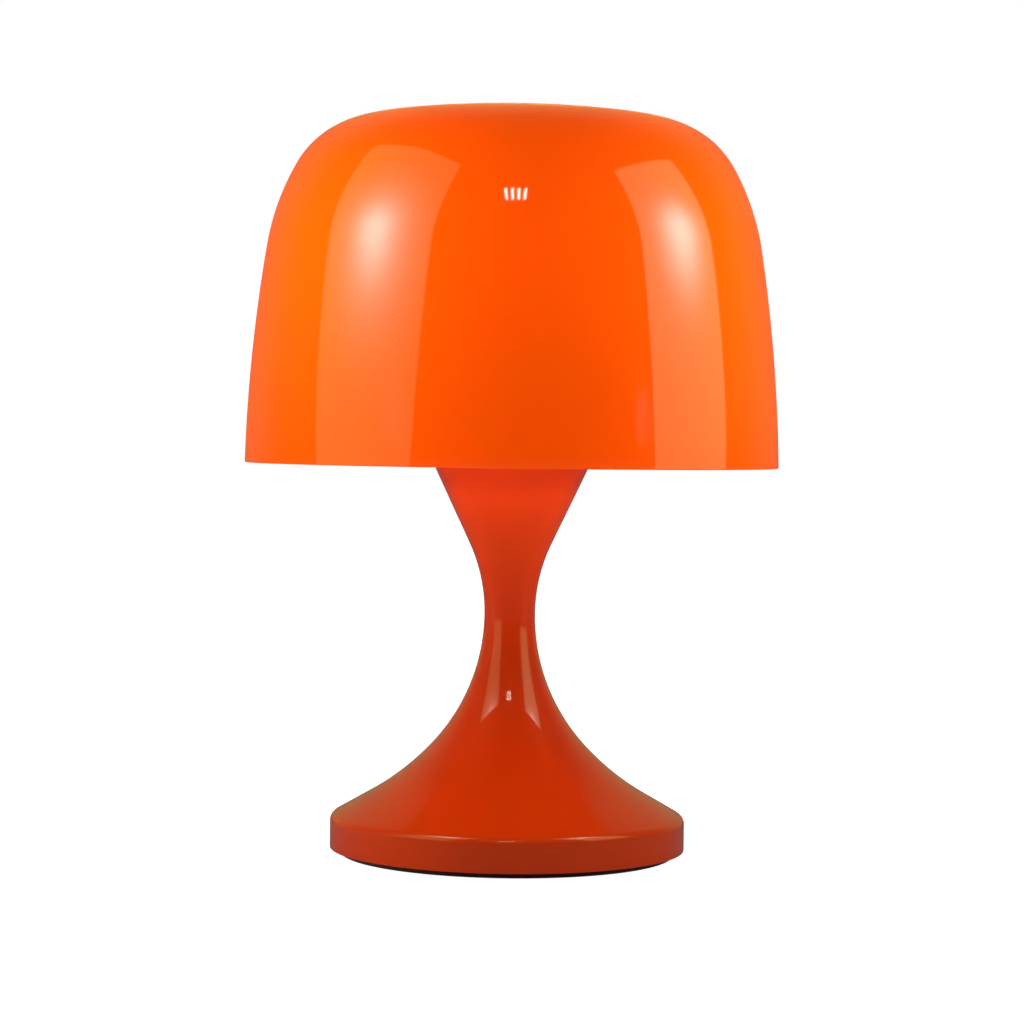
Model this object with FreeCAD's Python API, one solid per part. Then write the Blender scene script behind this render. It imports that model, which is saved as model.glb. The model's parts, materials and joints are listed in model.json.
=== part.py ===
"""Mushroom table lamp: a translucent dome shade on an hourglass base.

Millimetres and degrees. The origin is on the table, under the lamp's axis. +Z is up, the front
is -Y and the cord's inlet is at the back, +Y. Every piece is written to parts/ as its own file.
"""
import FreeCAD, Part
import math
import os

os.makedirs("parts", exist_ok=True)

# ---- Base casing: one lacquered shell, from the skirt through the waist to the trumpet's mouth
CASING_RADIUS = 100.4
CASING_WALL = 1.6
SKIRT_HEIGHT = 15.0
SHOULDER_RADIUS = 5.35
BELL_SLOPE = 60.25          # the bell's straight flank, from the vertical
BELL_STRAIGHT = 21.8
BELL_ARC = 148.2
BELL_ARC_END = 42.4         # the flank's angle where the bell's arc meets the waist's
WAIST_LOWER_ARC = 109.1
WAIST_UPPER_ARC = 93.7
TRUMPET_SLOPE = 25.2
TRUMPET_STRAIGHT = 62.0
MOUTH_FLANGE = 8.0          # the flange turned inwards round the mouth
SKIRT_LIP = 0.8             # what is left of the wall outside the base plate's rebate

# ---- Foot: pad, base plate, ballast
PAD_RADIUS = 94.6
PAD_THICKNESS = 3.3
PAD_EDGE = 0.8
BASE_PLATE_THICKNESS = 1.6
BASE_PLATE_CLEARANCE = 0.15
WIRING_HEIGHT = 11.0        # the space between the base plate and the ballast
BALLAST_THICKNESS = 7.0
BALLAST_CLEARANCE = 4.0
BALLAST_CHAMFER = 2.5
POST_CIRCLE = 70.0
POST_RADIUS = 7.0
POST_COUNT = 3
POST_FIRST_ANGLE = -30.0
BASE_SCREW_RADIUS = 2.0
BASE_SCREW_LENGTH = 14.0
BASE_SCREW_HEAD_RADIUS = 3.8
BASE_SCREW_HEAD_HEIGHT = 1.5
TAP_RUN_OUT = 0.8           # how much deeper a tapped hole is than its screw

# ---- Centre tube and its nuts
TUBE_RADIUS = 5.0
TUBE_BORE_RADIUS = 4.0
TUBE_PROUD = 0.5            # how far the tube's lower end stands out of its nut
WASHER_THICKNESS = 1.0
WASHER_RADIUS = 10.0
TOOTH_COUNT = 12
TOOTH_DEPTH = 2.2
TOOTH_GAP = 1.4
NUT_ACROSS_FLATS = 14.0
NUT_HEIGHT = 3.0
THREAD_CLEARANCE = 0.05

# ---- Top plate that closes the trumpet's mouth
TOP_PLATE_THICKNESS = 1.6
TOP_PLATE_INSET = 1.2
VENT_COUNT = 6
VENT_CIRCLE = 27.0
VENT_RADIUS = 3.2

# ---- Lampholder for a 27 mm screw cap
HOLDER_GAP = 0.3
HOLDER_NECK_RADIUS = 9.0
HOLDER_NECK_HEIGHT = 8.0
HOLDER_NECK_TAPER = 4.8     # where the cap's outside starts to widen, above its foot
HOLDER_NECK_TOP_RADIUS = 8.0
HOLDER_CAP_HEIGHT = 20.0
HOLDER_BOWL_RISE = 15.0     # where the cap reaches the sleeve's radius, above its foot
HOLDER_RADIUS = 19.9
HOLDER_WALL = 2.4
HOLDER_SPIGOT = 4.0
HOLDER_SLEEVE_HEIGHT = 36.0
COLLAR_PROUD = 4.6          # how far the collar stands out of the sleeve
COLLAR_THICKNESS = 3.0
COLLAR_TOP = 14.0           # above the sleeve's lower edge
INSERT_FLOOR = 4.5
INSERT_WALL = 2.4
INSERT_CLEARANCE = 0.3
INSERT_BELOW_RIM = 2.0
SCREW_SHELL_WALL = 0.6
TERMINAL_SPREAD = 8.0
TERMINAL_SIZE = 6.0
TERMINAL_DROP = 6.5
TERMINAL_BORE_DEPTH = 4.0   # the lead's hole; the screw enters what is left above it
TERMINAL_SCREW_ENTRY = 2.3
TERMINAL_SCREW_RADIUS = 1.5
CONTACT_THICKNESS = 0.5
CONTACT_WIDTH = 5.0
CONTACT_LIFT = 0.5          # how far the tongue's free end stands above its foot
SHELL_STANDOFF = 2.0        # from the insert's floor to the screw shell

# ---- Shade ring: the threaded ring that clamps the shade carrier on the lampholder
RING_HEIGHT = 9.0
RING_GRIP_PROUD = 3.7       # beyond the lampholder's sleeve, as the flange is
RING_FLANGE_PROUD = 6.6
RING_FLANGE_THICKNESS = 2.0
RING_RIB_COUNT = 24
RING_RIB_RADIUS = 0.8
RUNNING_CLEARANCE = 0.08
FACE_GAP = 0.1

# ---- Shade carrier: a hub with three spokes and a ring, all of round steel wire
HUB_PROUD = 13.1            # beyond the lampholder's sleeve, as the spokes' start is
HUB_THICKNESS = 1.5
WIRE_RADIUS = 2.0
SPOKE_COUNT = 3
SPOKE_FIRST_ANGLE = 90.0
SPOKE_START_PROUD = 8.6
SPOKE_OVERHANG = 5.0
TIP_RADIUS = 2.9
TIP_WALL = 0.8
TIP_CLEARANCE = 0.8
TIP_RING_GAP = 0.4

# ---- Shade: a closed acrylic dome, open at the bottom
SHADE_RIM_RADIUS = 150.5
SHADE_WALL = 3.0
SHADE_LEAN = 1.4            # how far the wall leans inwards at the rim
SHADE_SIDE_ARC = 910.0
SHADE_SIDE_END = 9.1
SHADE_HIP_ARC = 138.0
SHADE_HIP_END = 29.5
SHADE_SHOULDER_ARC = 53.3
SHADE_SHOULDER_END = 81.5
SHADE_EDGE = 0.7
SHADE_SEAT_HEIGHT = 58.6    # from the rim up to where the lugs rest
SEAT_GAP = 0.3
LUG_WIDTH = 17.0
LUG_HEIGHT = 8.0
LUG_DEPTH_INSIDE_RING = 3.0
LUG_LEG_DROP = 4.5
LUG_SLOT_CLEARANCE = 0.5
LUG_GLUE_LINE = 0.15        # the bonding cement between a lug and the wall

# ---- Bulb: a pear-shaped filament bulb, 60 mm across
BULB_RADIUS = 30.0
BULB_LENGTH = 105.0
BULB_WALL = 0.8
BULB_FLARE_ANGLE = 28.0
BULB_FLARE_ARC = 35.0
BULB_NECK_RADIUS = 12.0
BULB_NECK_INSIDE_CAP = 12.0
CAP_THREAD_RADIUS = 13.2
CAP_ROOT_RADIUS = 12.5
CAP_WALL = 0.3
CAP_LENGTH = 27.0
CAP_THREAD_PITCH = 3.629
CAP_THREAD_TURNS = 5
CAP_THREAD_START = 0.5
CAP_CREST_FROM = 0.35       # where a ridge's crest starts and ends, as a share of the pitch
CAP_CREST_TO = 0.65
CAP_CONTACT_HEIGHT = 2.0
CAP_CONTACT_RADIUS = 4.8
CAP_CONTACT_FACE_RADIUS = 2.9
CAP_CONTACT_BEVEL = 1.0
CAP_INSULATOR_HEIGHT = 4.5
CAP_INSULATOR_STEP = 1.0    # how far the insulator stands out round the contact
BULB_CLEARANCE = 0.35       # between the cap's thread and the lampholder's screw shell
STEM_RADIUS = 3.0
STEM_HEIGHT = 36.0
STEM_FLARE_CLEARANCE = 0.2
STEM_FLARE_HEIGHT = 14.0
FILAMENT_RADIUS = 0.4
FILAMENT_SPAN = 24.0
FILAMENT_RISE = 18.0

# ---- Cord inlet and wiring
INLET_HEIGHT = 11.2
INLET_BORE_RADIUS = 3.4
INLET_NECK_RADIUS = 4.6
INLET_FLANGE_RADIUS = 6.0
INLET_FLANGE_THICKNESS = 1.5
INLET_CLEARANCE = 0.1
LEAD_RADIUS = 1.1
LEAD_ENTRY = 4.0            # how far a lead reaches into its barrel
LEAD_SPREAD_IN_TUBE = 1.6
POLE_PITCH = 8.0
BLOCK_LENGTH = 30.0
BLOCK_DEPTH = 16.0
BLOCK_HEIGHT = 9.8
BLOCK_BACK = 46.0
BARREL_RADIUS = 2.5
BARREL_INSET = 1.0          # from each face of the block to the barrel's end
BARREL_BORE_RADIUS = 1.3
BARREL_ABOVE_BLOCK_FOOT = 3.2
POLE_SCREW_RADIUS = 1.3
BLOCK_SCREW_RADIUS = 1.4
BLOCK_SCREW_DEPTH = 4.0
EARTH_X = 24.0
EARTH_Y = 14.0
EARTH_TAG_RADIUS = 4.2
EARTH_TAG_THICKNESS = 0.8
EARTH_TAIL_WIDTH = 3.3
EARTH_TAIL_X = -7.5         # from the earth screw to the tail's end
EARTH_TAIL_Y = 5.5
EARTH_SCREW_RADIUS = 2.0
EARTH_SCREW_HEAD_RADIUS = 3.6
EARTH_SCREW_HEAD_HEIGHT = 2.2
EARTH_SCREW_DEPTH = 5.0
HOLE_CLEARANCE = 0.1


# ---- Geometry helpers
def sideways(point, heading, distance):
    """The point moved to the left of a heading, which is degrees from +Z towards +X."""
    angle = math.radians(heading)
    return point[0] - distance * math.cos(angle), point[1] + distance * math.sin(angle)


def ahead(point, heading, distance):
    """The point moved along a heading."""
    angle = math.radians(heading)
    return point[0] + distance * math.sin(angle), point[1] + distance * math.cos(angle)


def at(point):
    """A (radius, height) pair as a vector in the X-Z plane."""
    return FreeCAD.Vector(point[0], 0, point[1])


def line(start, end):
    return Part.LineSegment(at(start), at(end)).toShape()


def outline(start, heading, steps, inset=0.0):
    """Walk a smooth outline upwards with its outside on the right.

    A step is ("line", length) or ("arc", radius, heading at its end). inset moves the whole
    outline to its left by that much. Returns the edges, the end point and the end heading.
    """
    point = sideways(start, heading, inset)
    edges = []
    for kind, size, *turned in steps:
        if kind == "line":
            end = ahead(point, heading, size)
            edges.append(line(point, end))
        else:
            side = 1 if turned[0] < heading else -1
            radius = size - side * inset
            centre = sideways(point, heading, side * radius)
            middle = sideways(centre, (heading + turned[0]) / 2, -side * radius)
            end = sideways(centre, turned[0], -side * radius)
            edges.append(Part.Arc(at(point), at(middle), at(end)).toShape())
            heading = turned[0]
        point = end
    return edges, point, heading


def spun(edges):
    """The solid that a closed loop of edges in the X-Z plane sweeps round the axis."""
    wire = Part.Wire(Part.__sortEdges__(edges))
    return Part.Face(wire).revolve(FreeCAD.Vector(0, 0, 0), FreeCAD.Vector(0, 0, 1), 360)


def turned(*points):
    """A turned solid from the corners of its section."""
    return spun([line(a, b) for a, b in zip(points, points[1:] + points[:1])])


def rod(radius, height, x=0.0, y=0.0, z=0.0, direction=(0, 0, 1)):
    return Part.makeCylinder(radius, height, FreeCAD.Vector(x, y, z), FreeCAD.Vector(*direction))


def tube(inner, outer, height, x=0.0, y=0.0, z=0.0):
    return rod(outer, height, x, y, z).cut(rod(inner, height, x, y, z))


def block(width, depth, height, x, y, z):
    """A box centred on x, from y towards +Y and from z upwards."""
    return Part.makeBox(width, depth, height, FreeCAD.Vector(x - width / 2, y, z))


def hexagon(across_flats, height, z):
    corner = across_flats / math.sqrt(3)
    angles = [math.radians(60 * k) for k in range(7)]
    points = [FreeCAD.Vector(corner * math.cos(a), corner * math.sin(a), z) for a in angles]
    return Part.Face(Part.makePolygon(points)).extrude(FreeCAD.Vector(0, 0, height))


def about_axis(shape, angle):
    """A copy of the shape turned about the lamp's axis."""
    copy = shape.copy()
    copy.rotate(FreeCAD.Vector(0, 0, 0), FreeCAD.Vector(0, 0, 1), angle)
    return copy


def round_axis(shape, count, first=0.0):
    """Copies of the shape, evenly spaced about the lamp's axis."""
    return [about_axis(shape, first + 360.0 * k / count) for k in range(count)]


def lead(points, bends):
    """A round lead along straight runs, with an arc of the given radius at each inner point."""
    corners = [FreeCAD.Vector(*p) for p in points]
    edges = []
    start = corners[0]
    for before, corner, after, bend in zip(corners, corners[1:], corners[2:], bends):
        back = (before - corner).normalize()
        forth = (after - corner).normalize()
        half = back.getAngle(forth) / 2
        reach = bend / math.tan(half)
        bisector = (back + forth).normalize()
        arc_start = corner + back * reach
        arc_end = corner + forth * reach
        arc_middle = corner + bisector * (bend / math.sin(half) - bend)
        edges.append(Part.LineSegment(start, arc_start).toShape())
        edges.append(Part.Arc(arc_start, arc_middle, arc_end).toShape())
        start = arc_end
    edges.append(Part.LineSegment(start, corners[-1]).toShape())
    section = Part.Wire(Part.makeCircle(LEAD_RADIUS, corners[0], corners[1] - corners[0]))
    return Part.Wire(edges).makePipeShell([section], True, True)


def save(name, *solids):
    """Write one node: a single solid, or a group of separate ones."""
    shape = solids[0] if len(solids) == 1 else Part.makeCompound(list(solids))
    shape.exportStep(f"parts/{name}.step")


# ---- Heights of the foot
plate_top = PAD_THICKNESS + BASE_PLATE_THICKNESS
ballast_bottom = plate_top + WIRING_HEIGHT
ballast_top = ballast_bottom + BALLAST_THICKNESS

# ---- The casing's outline, from the foot of the skirt to the trumpet's mouth
CASING_STEPS = [
    ("line", SKIRT_HEIGHT),
    ("arc", SHOULDER_RADIUS, -BELL_SLOPE),
    ("line", BELL_STRAIGHT),
    ("arc", BELL_ARC, -BELL_ARC_END),
    ("arc", WAIST_LOWER_ARC, 0.0),
    ("arc", WAIST_UPPER_ARC, TRUMPET_SLOPE),
]
casing_foot = (CASING_RADIUS, PAD_THICKNESS)
casing_edges, trumpet_start, _ = outline(casing_foot, 0.0, CASING_STEPS)
mouth = ahead(trumpet_start, TRUMPET_SLOPE, TRUMPET_STRAIGHT)
mouth_height = mouth[1]
flange_bore_radius = mouth[0] - MOUTH_FLANGE


def make_casing():
    """The hollow shell, with a flange at its mouth, a rebate in its skirt and the cord's hole."""
    inner_edges, inner_start, _ = outline(casing_foot, 0.0, CASING_STEPS, CASING_WALL)
    flange_bottom = mouth_height - CASING_WALL
    inner_run = (flange_bottom - inner_start[1]) / math.cos(math.radians(TRUMPET_SLOPE))
    inner_mouth = ahead(inner_start, TRUMPET_SLOPE, inner_run)
    inner_skirt = CASING_RADIUS - CASING_WALL
    rebate = CASING_RADIUS - SKIRT_LIP
    inner_edges[0] = line((inner_skirt, plate_top), (inner_skirt, casing_foot[1] + SKIRT_HEIGHT))
    edges = casing_edges + inner_edges + [
        line(trumpet_start, mouth),
        line(mouth, (flange_bore_radius, mouth_height)),
        line((flange_bore_radius, mouth_height), (flange_bore_radius, flange_bottom)),
        line((flange_bore_radius, flange_bottom), inner_mouth),
        line(inner_start, inner_mouth),
        line((inner_skirt, plate_top), (rebate, plate_top)),
        line((rebate, plate_top), (rebate, PAD_THICKNESS)),
        line((rebate, PAD_THICKNESS), casing_foot),
    ]
    hole = rod(INLET_NECK_RADIUS + INLET_CLEARANCE, CASING_RADIUS,
               0, CASING_RADIUS / 2, INLET_HEIGHT, (0, 1, 0))
    return spun(edges).cut(hole)


# ---- Foot
def bell_inside_radius(height):
    """The casing's inside radius on the bell's straight flank."""
    slope = math.radians(BELL_SLOPE)
    corner = SHOULDER_RADIUS - CASING_WALL
    radius = CASING_RADIUS - SHOULDER_RADIUS + corner * math.cos(slope)
    level = PAD_THICKNESS + SKIRT_HEIGHT + corner * math.sin(slope)
    return radius - (height - level) * math.tan(slope)


ballast_radius = min(bell_inside_radius(ballast_top), CASING_RADIUS - CASING_WALL) - BALLAST_CLEARANCE
block_front = BLOCK_BACK - BLOCK_DEPTH
block_foot = ballast_bottom - BLOCK_HEIGHT
block_screw_xs = (-POLE_PITCH / 2, POLE_PITCH / 2)


def base_screw(radius, head_radius, length):
    """One countersunk screw that points up, with its head flush with the plate's underside."""
    top = PAD_THICKNESS + length
    head_top = PAD_THICKNESS + BASE_SCREW_HEAD_HEIGHT
    return turned((0, PAD_THICKNESS), (head_radius, PAD_THICKNESS), (radius, head_top),
                  (radius, top), (0, top)).translate(FreeCAD.Vector(POST_CIRCLE, 0, 0))


def base_screw_set(clearance, depth=0.0):
    screw = base_screw(BASE_SCREW_RADIUS + clearance, BASE_SCREW_HEAD_RADIUS + clearance,
                       BASE_SCREW_LENGTH + depth)
    return round_axis(screw, POST_COUNT, POST_FIRST_ANGLE)


def make_pad():
    return turned((0, 0), (PAD_RADIUS - PAD_EDGE, 0), (PAD_RADIUS, PAD_EDGE),
                  (PAD_RADIUS, PAD_THICKNESS), (0, PAD_THICKNESS))


def make_base_plate():
    radius = CASING_RADIUS - SKIRT_LIP - BASE_PLATE_CLEARANCE
    plate = rod(radius, BASE_PLATE_THICKNESS, z=PAD_THICKNESS)
    return plate.cut(base_screw_set(HOLE_CLEARANCE))


def make_ballast():
    """A cast disc on three posts, bored for the tube and tapped for the screws that enter it."""
    disc = turned((TUBE_RADIUS + HOLE_CLEARANCE, ballast_bottom), (ballast_radius, ballast_bottom),
                  (ballast_radius, ballast_top - BALLAST_CHAMFER),
                  (ballast_radius - BALLAST_CHAMFER, ballast_top),
                  (TUBE_RADIUS + HOLE_CLEARANCE, ballast_top))
    post = rod(POST_RADIUS, WIRING_HEIGHT, POST_CIRCLE, 0, plate_top)
    posts = round_axis(post, POST_COUNT, POST_FIRST_ANGLE)
    taps = base_screw_set(THREAD_CLEARANCE, TAP_RUN_OUT)
    for x in block_screw_xs:
        taps.append(rod(BLOCK_SCREW_RADIUS + THREAD_CLEARANCE, BLOCK_SCREW_DEPTH + TAP_RUN_OUT,
                        x, block_front + BLOCK_DEPTH / 2, ballast_bottom))
    taps.append(rod(EARTH_SCREW_RADIUS + THREAD_CLEARANCE, EARTH_SCREW_DEPTH + TAP_RUN_OUT,
                    EARTH_X, EARTH_Y, ballast_bottom))
    return disc.fuse(posts).cut(taps).removeSplitter()


# ---- Centre tube, with a washer and a nut at each end
lower_nut_top = ballast_bottom - WASHER_THICKNESS
tube_bottom = lower_nut_top - NUT_HEIGHT - TUBE_PROUD
top_plate_top = mouth_height + TOP_PLATE_THICKNESS
upper_nut_bottom = top_plate_top + WASHER_THICKNESS
holder_bottom = upper_nut_bottom + NUT_HEIGHT + HOLDER_GAP
tube_top = holder_bottom + HOLDER_NECK_HEIGHT - TUBE_PROUD


def make_nut(z):
    nut = hexagon(NUT_ACROSS_FLATS, NUT_HEIGHT, z)
    return nut.cut(rod(TUBE_RADIUS + THREAD_CLEARANCE, NUT_HEIGHT, z=z))


def make_washer(z):
    return tube(TUBE_RADIUS + HOLE_CLEARANCE, WASHER_RADIUS, WASHER_THICKNESS, z=z)


def make_tooth_washer(z):
    """A lock washer with teeth round its outer edge."""
    gap = block(TOOTH_GAP, TOOTH_DEPTH * 2, WASHER_THICKNESS, 0, WASHER_RADIUS - TOOTH_DEPTH, z)
    return make_washer(z).cut(round_axis(gap, TOOTH_COUNT))


def make_top_plate():
    plate = tube(TUBE_RADIUS + HOLE_CLEARANCE, mouth[0] - TOP_PLATE_INSET, TOP_PLATE_THICKNESS,
                 z=mouth_height)
    vent = rod(VENT_RADIUS, TOP_PLATE_THICKNESS, VENT_CIRCLE, 0, mouth_height)
    return plate.cut(round_axis(vent, VENT_COUNT))


# ---- Lampholder
sleeve_bottom = holder_bottom + HOLDER_CAP_HEIGHT
sleeve_top = sleeve_bottom + HOLDER_SLEEVE_HEIGHT
sleeve_bore_radius = HOLDER_RADIUS - HOLDER_WALL
collar_radius = HOLDER_RADIUS + COLLAR_PROUD
collar_top = sleeve_bottom + COLLAR_TOP
insert_bottom = sleeve_bottom + HOLDER_SPIGOT + INSERT_CLEARANCE
insert_floor = insert_bottom + INSERT_FLOOR
insert_radius = sleeve_bore_radius - INSERT_CLEARANCE
insert_top = sleeve_top - INSERT_BELOW_RIM
shell_bore_radius = CAP_THREAD_RADIUS + BULB_CLEARANCE
shell_radius = shell_bore_radius + SCREW_SHELL_WALL
bulb_tip = insert_floor + CONTACT_THICKNESS + CONTACT_LIFT + HOLE_CLEARANCE


def make_holder_cap():
    """The lower cap: a threaded neck, a bowl for the terminals and a spigot inside the sleeve."""
    neck_top = holder_bottom + HOLDER_NECK_HEIGHT
    spigot_radius = sleeve_bore_radius - THREAD_CLEARANCE
    spigot_bore = spigot_radius - HOLDER_WALL
    spigot_top = sleeve_bottom + HOLDER_SPIGOT
    bore = TUBE_RADIUS + THREAD_CLEARANCE
    bowl_top = holder_bottom + HOLDER_BOWL_RISE
    return turned((bore, holder_bottom), (HOLDER_NECK_RADIUS, holder_bottom),
                  (HOLDER_NECK_RADIUS, holder_bottom + HOLDER_NECK_TAPER),
                  (HOLDER_RADIUS, bowl_top), (HOLDER_RADIUS, sleeve_bottom),
                  (spigot_radius, sleeve_bottom), (spigot_radius, spigot_top),
                  (spigot_bore, spigot_top), (spigot_bore, bowl_top),
                  (HOLDER_NECK_TOP_RADIUS, neck_top), (bore, neck_top))


def make_holder_sleeve():
    """The outer sleeve, with the collar that the shade carrier stands on."""
    collar_bottom = collar_top - COLLAR_THICKNESS
    return turned((sleeve_bore_radius, sleeve_bottom), (HOLDER_RADIUS, sleeve_bottom),
                  (HOLDER_RADIUS, collar_bottom), (collar_radius, collar_bottom),
                  (collar_radius, collar_top), (HOLDER_RADIUS, collar_top),
                  (HOLDER_RADIUS, sleeve_top), (sleeve_bore_radius, sleeve_top))


def make_holder_insert():
    """The ceramic cup that carries the contacts and the screw shell."""
    cup = turned((0, insert_bottom), (insert_radius, insert_bottom), (insert_radius, insert_top),
                 (shell_radius + HOLE_CLEARANCE, insert_top),
                 (shell_radius + HOLE_CLEARANCE, insert_floor), (0, insert_floor))
    holes = [rod(TERMINAL_SCREW_RADIUS + HOLE_CLEARANCE, INSERT_FLOOR, side * TERMINAL_SPREAD, 0,
                 insert_bottom) for side in (-1, 1)]
    return cup.cut(holes)


def make_screw_shell():
    bottom = insert_floor + SHELL_STANDOFF
    return tube(shell_bore_radius, shell_radius, insert_top - bottom, z=bottom)


def make_centre_contact():
    """A springy brass strip: flat on the insert's floor at one end, raised under the bulb's tip."""
    foot = block(TERMINAL_SPREAD, CONTACT_WIDTH, CONTACT_THICKNESS, -TERMINAL_SPREAD,
                 -CONTACT_WIDTH / 2, insert_floor)
    tongue = block(TERMINAL_SPREAD, CONTACT_WIDTH, CONTACT_THICKNESS, 0,
                   -CONTACT_WIDTH / 2, insert_floor + CONTACT_LIFT)
    step = block(CONTACT_THICKNESS, CONTACT_WIDTH, CONTACT_THICKNESS + CONTACT_LIFT, -TERMINAL_SPREAD / 2,
                 -CONTACT_WIDTH / 2, insert_floor)
    return foot.fuse([tongue, step]).removeSplitter()


def terminal_pair(make):
    return [make(side) for side in (-1, 1)]


def make_terminal(side):
    """A brass terminal under the insert, with a hole from below for its lead."""
    bottom = insert_bottom - TERMINAL_DROP
    body = block(TERMINAL_SIZE, TERMINAL_SIZE, TERMINAL_DROP, side * TERMINAL_SPREAD,
                 -TERMINAL_SIZE / 2, bottom)
    bore = rod(LEAD_RADIUS + HOLE_CLEARANCE, TERMINAL_BORE_DEPTH, side * TERMINAL_SPREAD, 0, bottom)
    tap = rod(TERMINAL_SCREW_RADIUS + THREAD_CLEARANCE, TERMINAL_DROP - TERMINAL_BORE_DEPTH,
              side * TERMINAL_SPREAD, 0, bottom + TERMINAL_BORE_DEPTH)
    return body.cut([bore, tap])


def make_terminal_screw(side):
    """The screw that holds a terminal up against the insert, with its head in the insert's hole."""
    bottom = insert_bottom - TERMINAL_SCREW_ENTRY
    top = insert_floor - HOLE_CLEARANCE
    return rod(TERMINAL_SCREW_RADIUS, top - bottom, side * TERMINAL_SPREAD, 0, bottom)


# ---- Shade carrier and its threaded ring
hub_bottom = collar_top + FACE_GAP
hub_top = hub_bottom + HUB_THICKNESS
hub_radius = HOLDER_RADIUS + HUB_PROUD
spoke_start = HOLDER_RADIUS + SPOKE_START_PROUD
spoke_height = hub_top + WIRE_RADIUS
seat_height = spoke_height + TIP_RADIUS + SEAT_GAP
rim_height = seat_height - SHADE_SEAT_HEIGHT


def shade_inside_radius(height):
    """The shade's inside radius on its side wall."""
    lean = math.radians(SHADE_LEAN)
    centre_radius = SHADE_RIM_RADIUS - SHADE_SIDE_ARC * math.cos(lean)
    centre_height = rim_height - SHADE_SIDE_ARC * math.sin(lean)
    inner = SHADE_SIDE_ARC - SHADE_WALL
    return centre_radius + math.sqrt(inner ** 2 - (height - centre_height) ** 2)


tip_end = shade_inside_radius(seat_height) - TIP_CLEARANCE
spoke_end = tip_end - TIP_WALL
carrier_ring_radius = spoke_end - SPOKE_OVERHANG
tip_start = carrier_ring_radius + WIRE_RADIUS + TIP_RING_GAP


def make_shade_carrier():
    """The hub plate, with the spokes and the outer ring welded on."""
    hub = tube(HOLDER_RADIUS + RUNNING_CLEARANCE, hub_radius, HUB_THICKNESS, z=hub_bottom)
    ring = Part.makeTorus(carrier_ring_radius, WIRE_RADIUS, FreeCAD.Vector(0, 0, spoke_height))
    spoke = rod(WIRE_RADIUS, spoke_end - spoke_start, spoke_start, 0, spoke_height, (1, 0, 0))
    foot = block(hub_radius - spoke_start, WIRE_RADIUS, WIRE_RADIUS,
                 (spoke_start + hub_radius) / 2, -WIRE_RADIUS / 2, hub_top)
    arms = round_axis(spoke.fuse(foot), SPOKE_COUNT, SPOKE_FIRST_ANGLE)
    return hub.fuse(arms).fuse(ring)


def make_carrier_tips():
    """A soft cap on the end of each spoke."""
    body = rod(TIP_RADIUS, tip_end - tip_start, tip_start, 0, spoke_height, (1, 0, 0))
    bore = rod(WIRE_RADIUS + THREAD_CLEARANCE, spoke_end - tip_start, tip_start, 0, spoke_height,
               (1, 0, 0))
    return round_axis(body.cut(bore), SPOKE_COUNT, SPOKE_FIRST_ANGLE)


def make_shade_ring():
    """The threaded ring, with a flange below and a ribbed grip above."""
    bottom = hub_top + FACE_GAP
    bore = HOLDER_RADIUS + RUNNING_CLEARANCE
    grip_radius = HOLDER_RADIUS + RING_GRIP_PROUD
    flange_radius = HOLDER_RADIUS + RING_FLANGE_PROUD
    flange_top = bottom + RING_FLANGE_THICKNESS
    ring = turned((bore, bottom), (flange_radius, bottom), (flange_radius, flange_top),
                  (grip_radius, flange_top), (grip_radius, bottom + RING_HEIGHT),
                  (bore, bottom + RING_HEIGHT))
    rib = rod(RING_RIB_RADIUS, RING_HEIGHT - RING_FLANGE_THICKNESS, grip_radius, 0, flange_top)
    return ring.fuse(round_axis(rib, RING_RIB_COUNT)).removeSplitter()


# ---- Shade
SHADE_STEPS = [
    ("arc", SHADE_SIDE_ARC, -SHADE_SIDE_END),
    ("arc", SHADE_HIP_ARC, -SHADE_HIP_END),
    ("arc", SHADE_SHOULDER_ARC, -SHADE_SHOULDER_END),
]
shade_foot = (SHADE_RIM_RADIUS, rim_height)
_, shoulder_end, _ = outline(shade_foot, -SHADE_LEAN, SHADE_STEPS)
crown_arc = shoulder_end[0] / math.cos(math.radians(SHADE_SHOULDER_END))
SHADE_STEPS.append(("arc", crown_arc, -90.0))


def shade_inside(inset):
    """The space inside a surface that lies the given inset within the dome's outside."""
    edges, top, _ = outline(shade_foot, -SHADE_LEAN, SHADE_STEPS, inset)
    foot = sideways(shade_foot, -SHADE_LEAN, inset)
    return spun(edges + [line(top, (0, foot[1])), line((0, foot[1]), foot)])


def make_shade():
    outer, outer_top, _ = outline(shade_foot, -SHADE_LEAN, SHADE_STEPS)
    inner, inner_top, _ = outline(shade_foot, -SHADE_LEAN, SHADE_STEPS, SHADE_WALL)
    inner_foot = sideways(shade_foot, -SHADE_LEAN, SHADE_WALL)
    dome = spun(outer + inner + [line(outer_top, inner_top), line(inner_foot, shade_foot)])
    rims = [edge for edge in dome.Edges if edge.BoundBox.ZMax < rim_height + SHADE_WALL / 2]
    circles = [edge for edge in rims if edge.BoundBox.XLength > SHADE_RIM_RADIUS]
    return dome.makeFillet(SHADE_EDGE, circles)


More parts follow.
